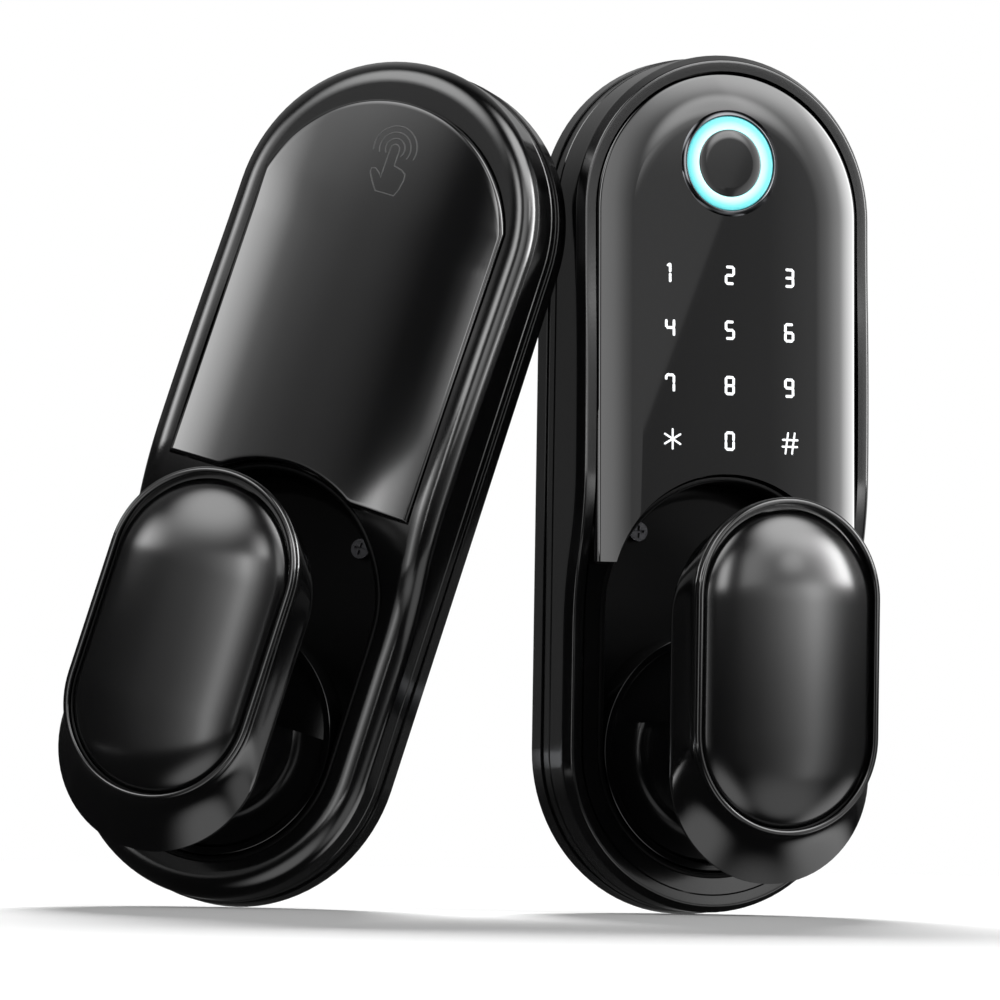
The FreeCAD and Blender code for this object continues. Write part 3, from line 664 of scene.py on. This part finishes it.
def shared_pieces(unit, cap_body, bore):
    """What both units have, each in its own place."""
    liner(unit)
    rosette(unit)
    hub(unit, bore)
    head(unit)
    rim(unit)
    cap(unit, cap_body)


# The exterior unit's own pieces


def keypad_panel(unit):
    """The glass: one stadium sheet with rounded edges, cut off round the recess."""
    back = [(0, -PANEL_T), (PANEL_R - 0.2, -PANEL_T), (PANEL_R, -PANEL_T + 0.2)]
    radii = [PANEL_R, 29.2, 29.08, 28.9, 28.65, 28.3, 27.5, 26.5, 25.5, 24.5, 23.5, 22.5, 21.5, 20.5,
             19.5, 18.5, 17.5, 16, 14.5, 13, 11.5, 10, 8.5, 7, 0]
    rings = [stadium(radius, 0, CENTRES_APART, lambda x, z, a=ahead: panel_front(0, z) + a, 72)
             for radius, ahead in back]
    for radius in radii:
        drop = rounded(PANEL_R - radius, PANEL_EDGE)
        rings.append(stadium(radius, 0, CENTRES_APART, lambda x, z, d=drop: panel_front(x, z) - d, 72))
    thing = mesh_object("keypad_glass", Shape().loft(rings))
    lower = [(-40, -40), (40, -40), (40, PANEL_FOOT_Z), (-40, PANEL_FOOT_Z)]
    recess = flat_points(stadium(PANEL_RECESS_R, 0, RECESS_HIGH_Z, 0))
    carve(thing, [prism(outline, 0.0, CLEAR) for outline in (lower, recess)])
    return place(thing, unit, "lock_body", FINISHES["panel_black"], ["keypad_panel"])


def reader_piece(unit, name, lines, slot, node, crisp=30):
    """One turned piece of the fingerprint reader, seated on the glass."""
    rings = []
    for radius, ahead in lines:
        rings.append(circle(radius, lambda x, z, a=ahead: panel_front(x, z) + a, READER_Z, 96))
    thing = mesh_object(name, Shape().loft(rings, looped=lines[0][0] > 0))
    return place(thing, unit, "lock_body", FINISHES[slot], [node], crisp)


def reader(unit):
    """Bezel, light guide and sensor pad: radius, and height above the glass."""
    bezel = [(11.0, -0.5), (11.0, -0.02), (10.96, 0.05), (10.02, 0.45), (9.93, 0.47), (9.86, 0.43),
             (9.8, 0.3), (9.8, -0.5)]
    reader_piece(unit, "reader_bezel", bezel, "bezel_dark_chrome", "fingerprint_bezel", 50)
    guide = [(9.72, -0.5), (9.72, 0.05), (9.6, 0.13), (9.3, 0.17), (7.3, 0.17), (7.0, 0.13), (6.92, 0.05),
             (6.92, -0.5)]
    reader_piece(unit, "reader_light_guide", guide, "light_cyan", "light_ring")
    pad = [(0, -0.5), (6.84, -0.5), (6.84, 0.1), (6.76, 0.18), (6.55, 0.22), (5, 0.22), (3, 0.22),
           (1.5, 0.22), (0, 0.22)]
    reader_piece(unit, "reader_pad", pad, "pad_black", "fingerprint_pad")


SEGMENTS = {
    "a": ((-1, 1), (1, 1)), "b": ((1, 1), (1, 0)), "c": ((1, 0), (1, -1)), "d": ((-1, -1), (1, -1)),
    "e": ((-1, 0), (-1, -1)), "f": ((-1, 1), (-1, 0)), "g": ((-1, 0), (1, 0)),
}
DIGITS = {"0": "abcdef", "2": "abged", "3": "abgcd", "4": "fgbc", "5": "afgcd", "6": "afgedc",
          "7": "abc", "8": "abcdefg", "9": "abcdfg"}
KEY_ROWS = (("1", "2", "3", 97.6), ("4", "5", "6", 86.3), ("7", "8", "9", 74.9), ("*", "0", "#", 63.5))
COLUMN_X = (-13.45, 0.0, 13.45)
SEGMENT_GAP = 0.3
STROKE_FLATNESS = 0.22


def legend_strokes(mark):
    """A mark's strokes about its own centre."""
    half_w, half_h = 0.86, 1.7
    if mark == "1":
        return [((0, half_h - 0.1), (0, 0.34)), ((0, -0.34), (0, -half_h)),
                ((-0.45, half_h - 0.2), (-0.1, half_h))]
    if mark == "*":
        arms = []
        for degrees in (90, 30, 150):
            x = 2.0 * math.cos(math.radians(degrees))
            z = 2.0 * math.sin(math.radians(degrees))
            arms.append(((-x, -z), (x, z)))
        return arms
    if mark == "#":
        return [((-1.05, -2.1), (-0.45, 2.1)), ((0.45, -2.1), (1.05, 2.1)), ((-1.6, 0.7), (1.7, 0.7)),
                ((-1.7, -0.7), (1.6, -0.7))]
    strokes = []
    for key in DIGITS[mark]:
        (x0, z0), (x1, z1) = SEGMENTS[key]
        x0, x1, z0, z1 = x0 * half_w, x1 * half_w, z0 * half_h, z1 * half_h
        length = math.hypot(x1 - x0, z1 - z0)
        trim_x, trim_z = (SEGMENT_GAP * run / length for run in (x1 - x0, z1 - z0))
        strokes.append(((x0 + trim_x, z0 + trim_z), (x1 - trim_x, z1 - trim_z)))
    if mark == "7":
        strokes.append(((-half_w, half_h - 0.3), (-half_w, half_h - 0.75)))
    return strokes


def stroke_tree(name):
    """Draws each edge of a flat mesh as a low rounded stroke."""
    tree = bpy.data.node_groups.new(name, "GeometryNodeTree")
    tree.interface.new_socket("Geometry", in_out="INPUT", socket_type="NodeSocketGeometry")
    width = tree.interface.new_socket("Stroke width", in_out="INPUT", socket_type="NodeSocketFloat")
    width.default_value = 0.0006
    flatness = tree.interface.new_socket("Flatness", in_out="INPUT", socket_type="NodeSocketFloat")
    flatness.default_value = 0.2
    ink = tree.interface.new_socket("Ink", in_out="INPUT", socket_type="NodeSocketMaterial")
    tree.interface.new_socket("Geometry", in_out="OUTPUT", socket_type="NodeSocketGeometry")
    given = tree.nodes.new("NodeGroupInput")
    result = tree.nodes.new("NodeGroupOutput")

    def add(kind, settings=None, **links):
        made = tree.nodes.new(kind)
        for key, value in (settings or {}).items():
            setattr(made, key, value)
        for key, value in links.items():
            socket = made.inputs[key.replace("_", " ")]
            if isinstance(value, bpy.types.NodeSocket):
                tree.links.new(value, socket)
            else:
                socket.default_value = value
        return made

    half = add("ShaderNodeMath", {"operation": "MULTIPLY"})
    tree.links.new(given.outputs["Stroke width"], half.inputs[0])
    half.inputs[1].default_value = 0.5
    paths = add("GeometryNodeMeshToCurve", Mesh=given.outputs["Geometry"])
    profile = add("GeometryNodeCurvePrimitiveCircle", Resolution=12, Radius=half.outputs[0])
    tubes = add("GeometryNodeCurveToMesh", Curve=paths.outputs[0], Profile_Curve=profile.outputs[0],
                Fill_Caps=True)
    ball = add("GeometryNodeMeshUVSphere", Segments=12, Rings=8, Radius=half.outputs[0])
    ends = add("GeometryNodeInstanceOnPoints", Points=given.outputs["Geometry"],
               Instance=ball.outputs["Mesh"])
    joined = add("GeometryNodeJoinGeometry")
    tree.links.new(ends.outputs[0], joined.inputs[0])
    tree.links.new(tubes.outputs[0], joined.inputs[0])
    whole = add("GeometryNodeRealizeInstances", Geometry=joined.outputs[0])
    where = add("GeometryNodeInputPosition")
    scale = add("ShaderNodeCombineXYZ", X=1.0, Y=given.outputs["Flatness"], Z=1.0)
    pressed = add("ShaderNodeVectorMath", {"operation": "MULTIPLY"})
    tree.links.new(where.outputs[0], pressed.inputs[0])
    tree.links.new(scale.outputs[0], pressed.inputs[1])
    flat = add("GeometryNodeSetPosition", Geometry=whole.outputs[0], Position=pressed.outputs[0])
    inked = add("GeometryNodeSetMaterial", Geometry=flat.outputs[0], Material=given.outputs["Ink"])
    tree.links.new(inked.outputs[0], result.inputs[0])
    return tree, width.identifier, flatness.identifier, ink.identifier


STROKES = stroke_tree("drawn_strokes")


def stroked(name, paths, width, finish, surface, lift):
    """A mesh of strokes along flat paths (x, z), laid on a surface depth(x, z)."""
    tree, width_key, flatness_key, ink_key = STROKES
    points = []
    edges = []
    for path in paths:
        start = len(points)
        points += [(x * MM, 0.0, z * MM) for x, z in path]
        edges += [(start + i, start + i + 1) for i in range(len(path) - 1)]
    mesh = bpy.data.meshes.new(name)
    mesh.from_pydata(points, edges, [])
    thing = bpy.data.objects.new(name, mesh)
    bpy.context.scene.collection.objects.link(thing)
    modifier = thing.modifiers.new("strokes", "NODES")
    modifier.node_group = tree
    modifier[width_key] = width * MM
    modifier[flatness_key] = STROKE_FLATNESS
    modifier[ink_key] = finish
    bpy.context.view_layer.update()
    applied(thing)
    for vertex in thing.data.vertices:
        x, y, z = vertex.co
        vertex.co.y = y - (surface(x / MM, z / MM) + lift) * MM
    return thing


def key_legends(unit):
    """Twelve lit marks, a piece each, on the glass."""
    ink = legend_finish("legend_ink", (0.93, 0.95, 0.97), 0.85)
    for row in KEY_ROWS:
        for mark, x in zip(row[:3], COLUMN_X):
            shift = {"1": 0.0, "*": 0.6, "#": 0.2}.get(mark, 0.0)
            name = "legend_" + {"*": "star", "#": "hash"}.get(mark, mark)
            paths = [[(x + shift + a, row[3] + b) for a, b in stroke] for stroke in legend_strokes(mark)]
            width = 0.42 if mark in "*#" else 0.58
            thing = stroked(name, paths, width, ink, panel_front, 0.02)
            place(thing, unit, "lock_body", ink, (), 60)


# The interior unit's own pieces


def cover_outline(gap):
    """The battery cover's outline from foot to top, as x and the two heights there."""
    half = COVER_HALF_W + gap
    top_r = COVER_TOP_R + gap
    recess_r = PANEL_RECESS_R - gap
    columns = []
    steps = 84
    for index in range(steps + 1):
        x = half * math.sin(math.pi * (index / steps - 0.5))
        high = COVER_TOP_CENTRE_Z + math.sqrt(top_r * top_r - x * x)
        low = COVER_FOOT_Z - gap
        if abs(x) < recess_r:
            low = max(low, RECESS_HIGH_Z + math.sqrt(recess_r * recess_r - x * x))
        columns.append((x, low, high))
    return columns


def cover_heights(low, high):
    """Heights from foot to top of one column, close together at both rounded ends."""
    offsets = (0.0, 0.04, 0.14, 0.3, 0.5, 0.75, 1.2)
    inner = [low + step for step in offsets]
    outer = [high - step for step in reversed(offsets)]
    span = outer[0] - inner[-1]
    return inner + [inner[-1] + span * i / COVER_ROWS for i in range(1, COVER_ROWS)] + outer


def battery_cover(unit):
    """The crowned cover with rounded edges."""
    columns = cover_outline(0)
    for step in (0.06, 0.16, 0.3, 0.5, 0.75):
        x = COVER_HALF_W - step
        high = COVER_TOP_CENTRE_Z + math.sqrt(COVER_TOP_R ** 2 - x * x)
        columns += [(-x, COVER_FOOT_Z, high), (x, COVER_FOOT_Z, high)]
    columns.sort(key=lambda column: column[0])

    def depth(x, z, low):
        distance = min(COVER_HALF_W - abs(x), z - low, COVER_EDGE)
        if z > COVER_TOP_CENTRE_Z:
            distance = min(distance, COVER_TOP_R - math.hypot(x, z - COVER_TOP_CENTRE_Z))
        return cover_front(x, z) - rounded(distance, COVER_EDGE)

    faces = [[(x, depth(x, z, low), z) for z in cover_heights(low, high)] for x, low, high in columns]
    backs = [[(x, front(z) + COVER_BACK, z) for x, _, z in row] for row in faces]
    shape = Shape().loft(faces, around=False)
    shape.loft([list(reversed(row)) for row in backs], around=False)
    for i in (0, len(faces) - 1):
        shape.loft([faces[i], backs[i]], around=False)
    for j in (0, len(faces[0]) - 1):
        shape.loft([[row[j] for row in faces], [row[j] for row in backs]], around=False)
    thing = mesh_object("battery_cover_shell", shape)
    return place(thing, unit, "battery_cover", FINISHES["cover_black"], ["battery_cover"])


def cover_opening(gap, inset, back):
    """The cutter for the hole that the cover closes."""
    columns = cover_outline(gap)
    columns = [(x, low, high) for x, low, high in columns if abs(x) <= COVER_HALF_W + gap - inset]
    outline = [(x, low + inset) for x, low, high in columns]
    outline += [(x, high - inset) for x, low, high in reversed(columns)]
    return prism(outline, back, CLEAR)


def touch_mark(unit):
    """A shallow pictogram on the cover: a pointing hand under three arcs."""
    centre_z = 124.2
    paths = []
    for radius, spread in ((2.1, 125), (3.4, 115), (4.7, 105)):
        path = []
        for index in range(25):
            angle = math.radians(90 - spread + 2 * spread * index / 24)
            path.append((radius * math.cos(angle), centre_z + radius * math.sin(angle)))
        paths.append(path)
    hand = [(-1.0, -5.2), (-1.0, -0.2), (-0.85, 0.45), (-0.3, 0.85), (0.3, 0.85), (0.85, 0.45),
            (1.0, -0.2), (1.0, -3.4), (2.9, -3.9), (3.8, -4.5), (4.0, -5.6), (3.6, -8.0), (3.0, -9.4),
            (-1.2, -9.4), (-2.4, -7.8), (-3.6, -5.9), (-3.5, -5.1), (-2.7, -4.9), (-1.7, -5.6),
            (-1.0, -6.4), (-1.0, -5.2)]
    paths.append([(x, centre_z + z) for x, z in hand])
    ink = coated("mark_engraved", (0.0015, 0.0015, 0.0016), 0.35)
    thing = stroked("touch_mark", paths, 0.3, ink, cover_front, 0.015)
    return place(thing, unit, "battery_cover", ink, (), 60)


# Degrees: the bearing that the interior unit leans about, how far it is turned past it, and its lean
LEAN_BEARING = 23.3
TURNED_IN = 20.0
LEAN = 17.0


def interior_matrix():
    """Where the leaning unit stands: turned, then tipped, about its mount on the door."""
    mount = next(m for m in frame["record"]["mounts"] if m["name"] == "interior_door_face")
    bearing = math.radians(LEAN_BEARING)
    turn = Matrix.Rotation(math.radians(-LEAN_BEARING - TURNED_IN), 4, "Z")
    forward = Vector((-math.sin(bearing), -math.cos(bearing), 0.0))
    leaning = Matrix.Rotation(math.radians(-LEAN), 4, forward)
    return Matrix.Translation(Vector(mount["pos_m"])) @ leaning @ turn


exterior = Unit("exterior", Matrix.Identity(4))
interior = Unit("interior", interior_matrix())

panel_outline = flat_points(stadium(PANEL_R + GAP, 0, CENTRES_APART, 0))
panel_hole = [(x, max(z, PANEL_FOOT_Z - GAP)) for x, z in panel_outline]
# Where the housings' openings start, measured from the door, and the ledge that the cover rests on
PANEL_SEAT = 12.0
COVER_SEAT = 17.5
BOX_FLOOR = 3.0
LEDGE = 3.0
groove_lines = [(PANEL_R, follow(1.2)), (GROOVE_R, follow(1.2)), (GROOVE_R, CLEAR), (PANEL_R, CLEAR)]
groove = Shape().loft([stadium(radius, 0, CENTRES_APART, depth) for radius, depth in groove_lines],
                      looped=True)
housing(exterior, CHAMFERED, [prism(panel_hole, PANEL_SEAT, CLEAR), groove], ["exterior_housing"])
housing(interior, ROLLED, [cover_opening(GAP, 0.0, COVER_SEAT), cover_opening(GAP, LEDGE, BOX_FLOOR)],
        ["interior_housing"])
shared_pieces(exterior, "exterior_cap", CYLINDER_BORE_R)
shared_pieces(interior, "interior_knob", SPINDLE_BORE_R)
keypad_panel(exterior)
reader(exterior)
key_legends(exterior)
battery_cover(interior)
touch_mark(interior)

# Carried-over CAD nodes take their own finishes
SLOTS = {part["node"]: part["material_slot"] for part in frame["record"]["subparts"]}
for node, thing in frame["nodes"].items():
    finish = FINISHES[SLOTS[node]]
    if node.endswith("back_plate"):
        finish = PLATE_FINISH
    elif node.endswith("recess_screws"):
        finish = SCREW_FINISH
    for holder in thing.material_slots:
        holder.material = finish
    if not thing.material_slots:
        thing.data.materials.append(finish)


# Floor, light and camera


def hidden_from_camera(thing):
    thing.visible_camera = False
    thing.visible_diffuse = False
    thing.visible_shadow = False
    thing.visible_transmission = False
    thing.visible_volume_scatter = False


def studio_object(name, mesh, material):
    mesh.materials.append(material)
    thing = bpy.data.objects.new(name, mesh)
    bpy.context.scene.collection.objects.link(thing)
    return thing


def sheet(name, corners, material, glossy_only=True):
    mesh = bpy.data.meshes.new(name)
    mesh.from_pydata(corners, [], [tuple(range(len(corners)))])
    thing = studio_object(name, mesh, material)
    thing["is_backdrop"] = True
    if glossy_only:
        hidden_from_camera(thing)
    return thing


def glow_material(name, level):
    material, field = new_material(name)
    white = {"Color": (1, 1, 1, 1), "Strength": level(field)}
    output(field, field.node("ShaderNodeEmission", None, white))
    return material


def direction(azimuth, elevation):
    """Azimuth from straight ahead of the exterior unit towards +X."""
    a, e = math.radians(azimuth), math.radians(elevation)
    return Vector((math.sin(a) * math.cos(e), -math.cos(a) * math.cos(e), math.sin(e)))


# The camera: degrees, metres, and the width that the frame shows at its distance
VIEW_BEARING = 23.2
VIEW_ELEVATION = -2.7
VIEW_ROLL = 0.9
VIEW_DISTANCE = 1.6
VIEW_SIDE = -0.0377
VIEW_HEIGHT = 0.0517
FRAME_WIDTH = 0.2074
SENSOR_WIDTH = 36.0

# Studio dome, which only reflections see: (azimuth, level) round the horizon, and soft lamps off it
HORIZON = ((-180, 0.05), (-111, 0.2), (-104, 5.0), (-96, 11.0), (-87, 6.8), (-79, 2.0), (-72, 0.95),
           (-64, 0.5), (-59, 0.38), (-51, 0.06), (-43, 0.03), (-38, 0.4), (-33, 3.2), (-27, 9.0),
           (-21, 9.0), (-15, 0.3), (-7, 0.3), (-2, 3.9), (3, 3.5), (7.4, 3.1), (15.6, 1.5), (20, 0.9),
           (24.9, 0.27), (25.3, 0.5), (25.8, 1.4), (31.6, 2.5), (40, 5.3), (48, 18.0), (52, 26.0),
           (58, 22.0), (63, 1.0), (180, 0.05))
HORIZON_PEAK = 26.0
LAMPS = (
    # azimuth, elevation, inner and outer angle, level
    (30.0, 43.0, 6.0, 31.0, 9.5),
    (-62.0, 46.0, 6.0, 30.0, 7.5),
    (24.0, 17.5, 2.0, 7.6, 6.0),
    (-30.0, -42.0, 8.0, 30.0, 2.0),
    (25.0, -32.0, 8.0, 30.0, 1.4),
    (75.0, -36.0, 8.0, 30.0, 2.4),
    (150.0, 55.0, 10.0, 50.0, 0.5),
    (-150.0, 55.0, 10.0, 50.0, 0.5),
)


def dome_level(field):
    where = field.node("ShaderNodeVectorMath", {"operation": "NORMALIZE"}, {0: field.place()})
    across, along, up = field.parts(where)
    turn = field.maths("ARCTAN2", across, along * -1.0) / (2 * math.pi) + 0.5
    stops = [((azimuth + 180) / 360, (strength / HORIZON_PEAK,) * 3) for azimuth, strength in HORIZON]
    band = up.step(-0.24, -0.05) * (1.0 - up.step(0.38, 0.62))
    level = HORIZON_PEAK * (turn.node("ShaderNodeValToRGB", {"stops": stops}, {"Fac": turn}) * band)
    for azimuth, elevation, inner, outer, strength in LAMPS:
        aim = tuple(direction(azimuth, elevation))
        facing = field.node("ShaderNodeVectorMath", {"operation": "DOT_PRODUCT"}, {0: where, 1: aim}, 1)
        lobe = facing.step(math.cos(math.radians(outer)), math.cos(math.radians(inner)))
        level = level + strength * (lobe * lobe)
    return level + 0.03


def dome():
    """A far shell round the object that carries the reflected light."""
    mesh = bpy.data.meshes.new("studio_dome")
    work = bmesh.new()
    bmesh.ops.create_icosphere(work, subdivisions=4, radius=3.0)
    bmesh.ops.reverse_faces(work, faces=work.faces)
    work.to_mesh(mesh)
    work.free()
    thing = studio_object("studio_dome", mesh, glow_material("dome_light", dome_level))
    thing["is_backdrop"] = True
    hidden_from_camera(thing)


dome()


def card_level(field):
    """Even, and brighter at its top."""
    return 0.95 + 1.8 * field.parts(field.place())[2].step(0.47, 0.54)


# The card: azimuth and elevation from a point on the glass, metres away, and corners across it
CARD_AIM = (24.5, 7.45)
CARD_FROM = (0.0, -0.0234, 0.09)
CARD_AWAY = 2.4
CARD_CORNERS = ((0.058, 0.15), (-0.057, -0.15), (-0.257, -0.15), (-0.142, 0.15))


def split_card():
    """A plain card behind the viewer: its slanting edge crosses the keypad glass as a faint line."""
    aim = direction(*CARD_AIM)
    right = Vector((-aim.y, aim.x, 0.0)).normalized()
    up = aim.cross(right)
    centre = Vector(CARD_FROM) + aim * CARD_AWAY
    sheet("split_card", [tuple(centre + right * a + up * b) for a, b in CARD_CORNERS],
          glow_material("card_light", card_level))


# What each knob's cap reflects: levels by angle from its mirror direction, fading downwards
BOUNCE = ((-130, 0.05), (-71, 0.1), (-51, 0.16), (-36, 0.33), (-30, 0.6), (-24, 0.85), (-19, 1.1),
          (-15, 1.4), (-10.5, 2.0), (-6.5, 2.5), (-2.8, 3.5), (1, 4.2), (4, 5.8), (7, 8.4), (11.5, 10.0),
          (16, 6.4), (25, 2.3), (33, 0.8), (57, 0.4), (130, 0.3))
BOUNCE_SPREAD = 130
BOUNCE_PEAK = 10.0


def bounce_share(angle):
    """An angle's place along a strip, from 0 to 1."""
    return (angle / BOUNCE_SPREAD + 1) / 2


def bounce_level(low_share):
    """Along a strip as BOUNCE says, and down to a share of it at the strip's foot."""
    def level(field):
        across, height, _ = field.parts(field.node("ShaderNodeTexCoord", output=2))
        stops = [(bounce_share(angle), (strength / BOUNCE_PEAK,) * 3) for angle, strength in BOUNCE]
        glow = across.node("ShaderNodeValToRGB", {"stops": stops}, {"Fac": across})
        return BOUNCE_PEAK * (glow * (low_share + (1 - low_share) * height.step(0.5, 1.0)))
    return level


def bounce_strip(name, centre, mirror, swing, reach, low, high, low_share):
    """A curved reflector round a knob, kept below the rays that leave the panel above it."""
    steps = 80
    corners = []
    faces = []
    spots = []
    angles = [swing[0] + (swing[1] - swing[0]) * index / steps for index in range(steps + 1)]
    shares = [bounce_share(angle) for angle in angles]
    for angle in angles:
        out_to = direction(mirror + angle, 0.0) * reach
        corners += [(centre[0] + out_to.x, centre[1] + out_to.y, z) for z in (low, high)]
    for i in range(steps):
        faces.append((2 * i, 2 * i + 2, 2 * i + 3, 2 * i + 1))
        spots += [(shares[i], 0.0), (shares[i + 1], 0.0), (shares[i + 1], 1.0), (shares[i], 1.0)]
    mesh = bpy.data.meshes.new(name)
    mesh.from_pydata(corners, [], faces)
    layer = mesh.uv_layers.new(name="strip")
    for loop, spot in zip(layer.data, spots):
        loop.uv = spot
    thing = studio_object(name, mesh, glow_material(name + "_light", bounce_level(low_share)))
    thing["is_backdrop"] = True
    hidden_from_camera(thing)


split_card()
# Centre (x, y), mirror direction, swing either side of it, radius, foot and top, and level at the foot
bounce_strip("exterior_bounce", (0.0, -0.056), VIEW_BEARING, (-70, 130), 0.15, -0.045, 0.056, 0.25)
bounce_strip("interior_bounce", (-0.121, -0.0226), -43, (-130, 43), 0.15, -0.03, 0.092, 0.45)

floor_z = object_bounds()[0][2]
floor_material, floor_field = new_material("floor_white")
paper = floor_field.noise(3.0)
output(floor_field, principled(floor_field, {"Specular IOR Level": 0.0}, {
    "Base Color": paper.blend(colour((0.93, 0.93, 0.93)), colour((0.95, 0.95, 0.95))),
    "Roughness": 0.85 + 0.1 * paper}))
FLOOR_REACH = 12.0
floor_corners = [(x * FLOOR_REACH, y * FLOOR_REACH, floor_z)
                 for x, y in ((-1, -1), (1, -1), (1, 1), (-1, 1))]
sheet("studio_floor", floor_corners, floor_material, False).visible_glossy = False

# White to look at, and a weaker even light on the floor and the object
SKY_LEVEL = 0.3
world = bpy.data.worlds.new("studio")
bpy.context.scene.world = world
world.use_nodes = True
world.node_tree.nodes.clear()
sky = Field(world.node_tree)
path = sky.node("ShaderNodeLightPath")
camera_ray, glossy_ray, clear_ray = (
    Field(sky.tree, path.socket.node.outputs[kind])
    for kind in ("Is Camera Ray", "Is Glossy Ray", "Is Transmission Ray"))
seen = camera_ray + glossy_ray + clear_ray
shown = seen.maths("MINIMUM", seen, 1.0)
level = shown + (1.0 - shown) * SKY_LEVEL
background = sky.node("ShaderNodeBackground", None, {"Color": (1, 1, 1, 1), "Strength": level})
world_out = world.node_tree.nodes.new("ShaderNodeOutputWorld")
world.node_tree.links.new(background.socket, world_out.inputs["Surface"])


def lamp(name, kind, energy, place_at, aim):
    data = bpy.data.lights.new(name, kind)
    data.energy = energy
    thing = bpy.data.objects.new(name, data)
    bpy.context.scene.collection.objects.link(thing)
    thing.location = place_at
    thing.rotation_euler = (Vector(aim) - Vector(place_at)).to_track_quat("-Z", "Y").to_euler()
    thing.visible_glossy = False
    return data


KEY_WATTS = 3.0
SUN_LEVEL = 8.8
SUN_HEIGHT = 17.0
key = lamp("key_lamp", "AREA", KEY_WATTS, (0.35, -0.9, 1.1), (0, 0, 0.05))
key.shape = "DISK"
key.size = 0.9
behind = direction(180.0 - VIEW_BEARING, SUN_HEIGHT)
back = lamp("back_sun", "SUN", SUN_LEVEL, behind * 3.0, (0, 0, 0))
back.angle = math.radians(9.0)


def camera():
    data = bpy.data.cameras.new("view")
    thing = bpy.data.objects.new("view", data)
    bpy.context.scene.collection.objects.link(thing)
    bearing = math.radians(VIEW_BEARING)
    rise = math.radians(VIEW_ELEVATION)
    towards = Vector((-math.sin(bearing) * math.cos(rise), -math.cos(bearing) * math.cos(rise),
                      math.sin(rise)))
    side = Vector((math.cos(bearing), -math.sin(bearing), 0.0))
    up = side.cross(-towards)
    target = side * VIEW_SIDE + Vector((0, 0, VIEW_HEIGHT))
    turn = Matrix((side, up, towards)).transposed().to_4x4()
    roll = Matrix.Rotation(math.radians(VIEW_ROLL), 4, "Z")
    thing.matrix_world = Matrix.Translation(target + towards * VIEW_DISTANCE) @ turn @ roll
    data.sensor_width = SENSOR_WIDTH
    data.lens = SENSOR_WIDTH * VIEW_DISTANCE / FRAME_WIDTH
    data.clip_start = 0.05
    data.clip_end = 60.0
    bpy.context.scene.camera = thing


camera()
bpy.context.scene.view_settings.view_transform = "Standard"
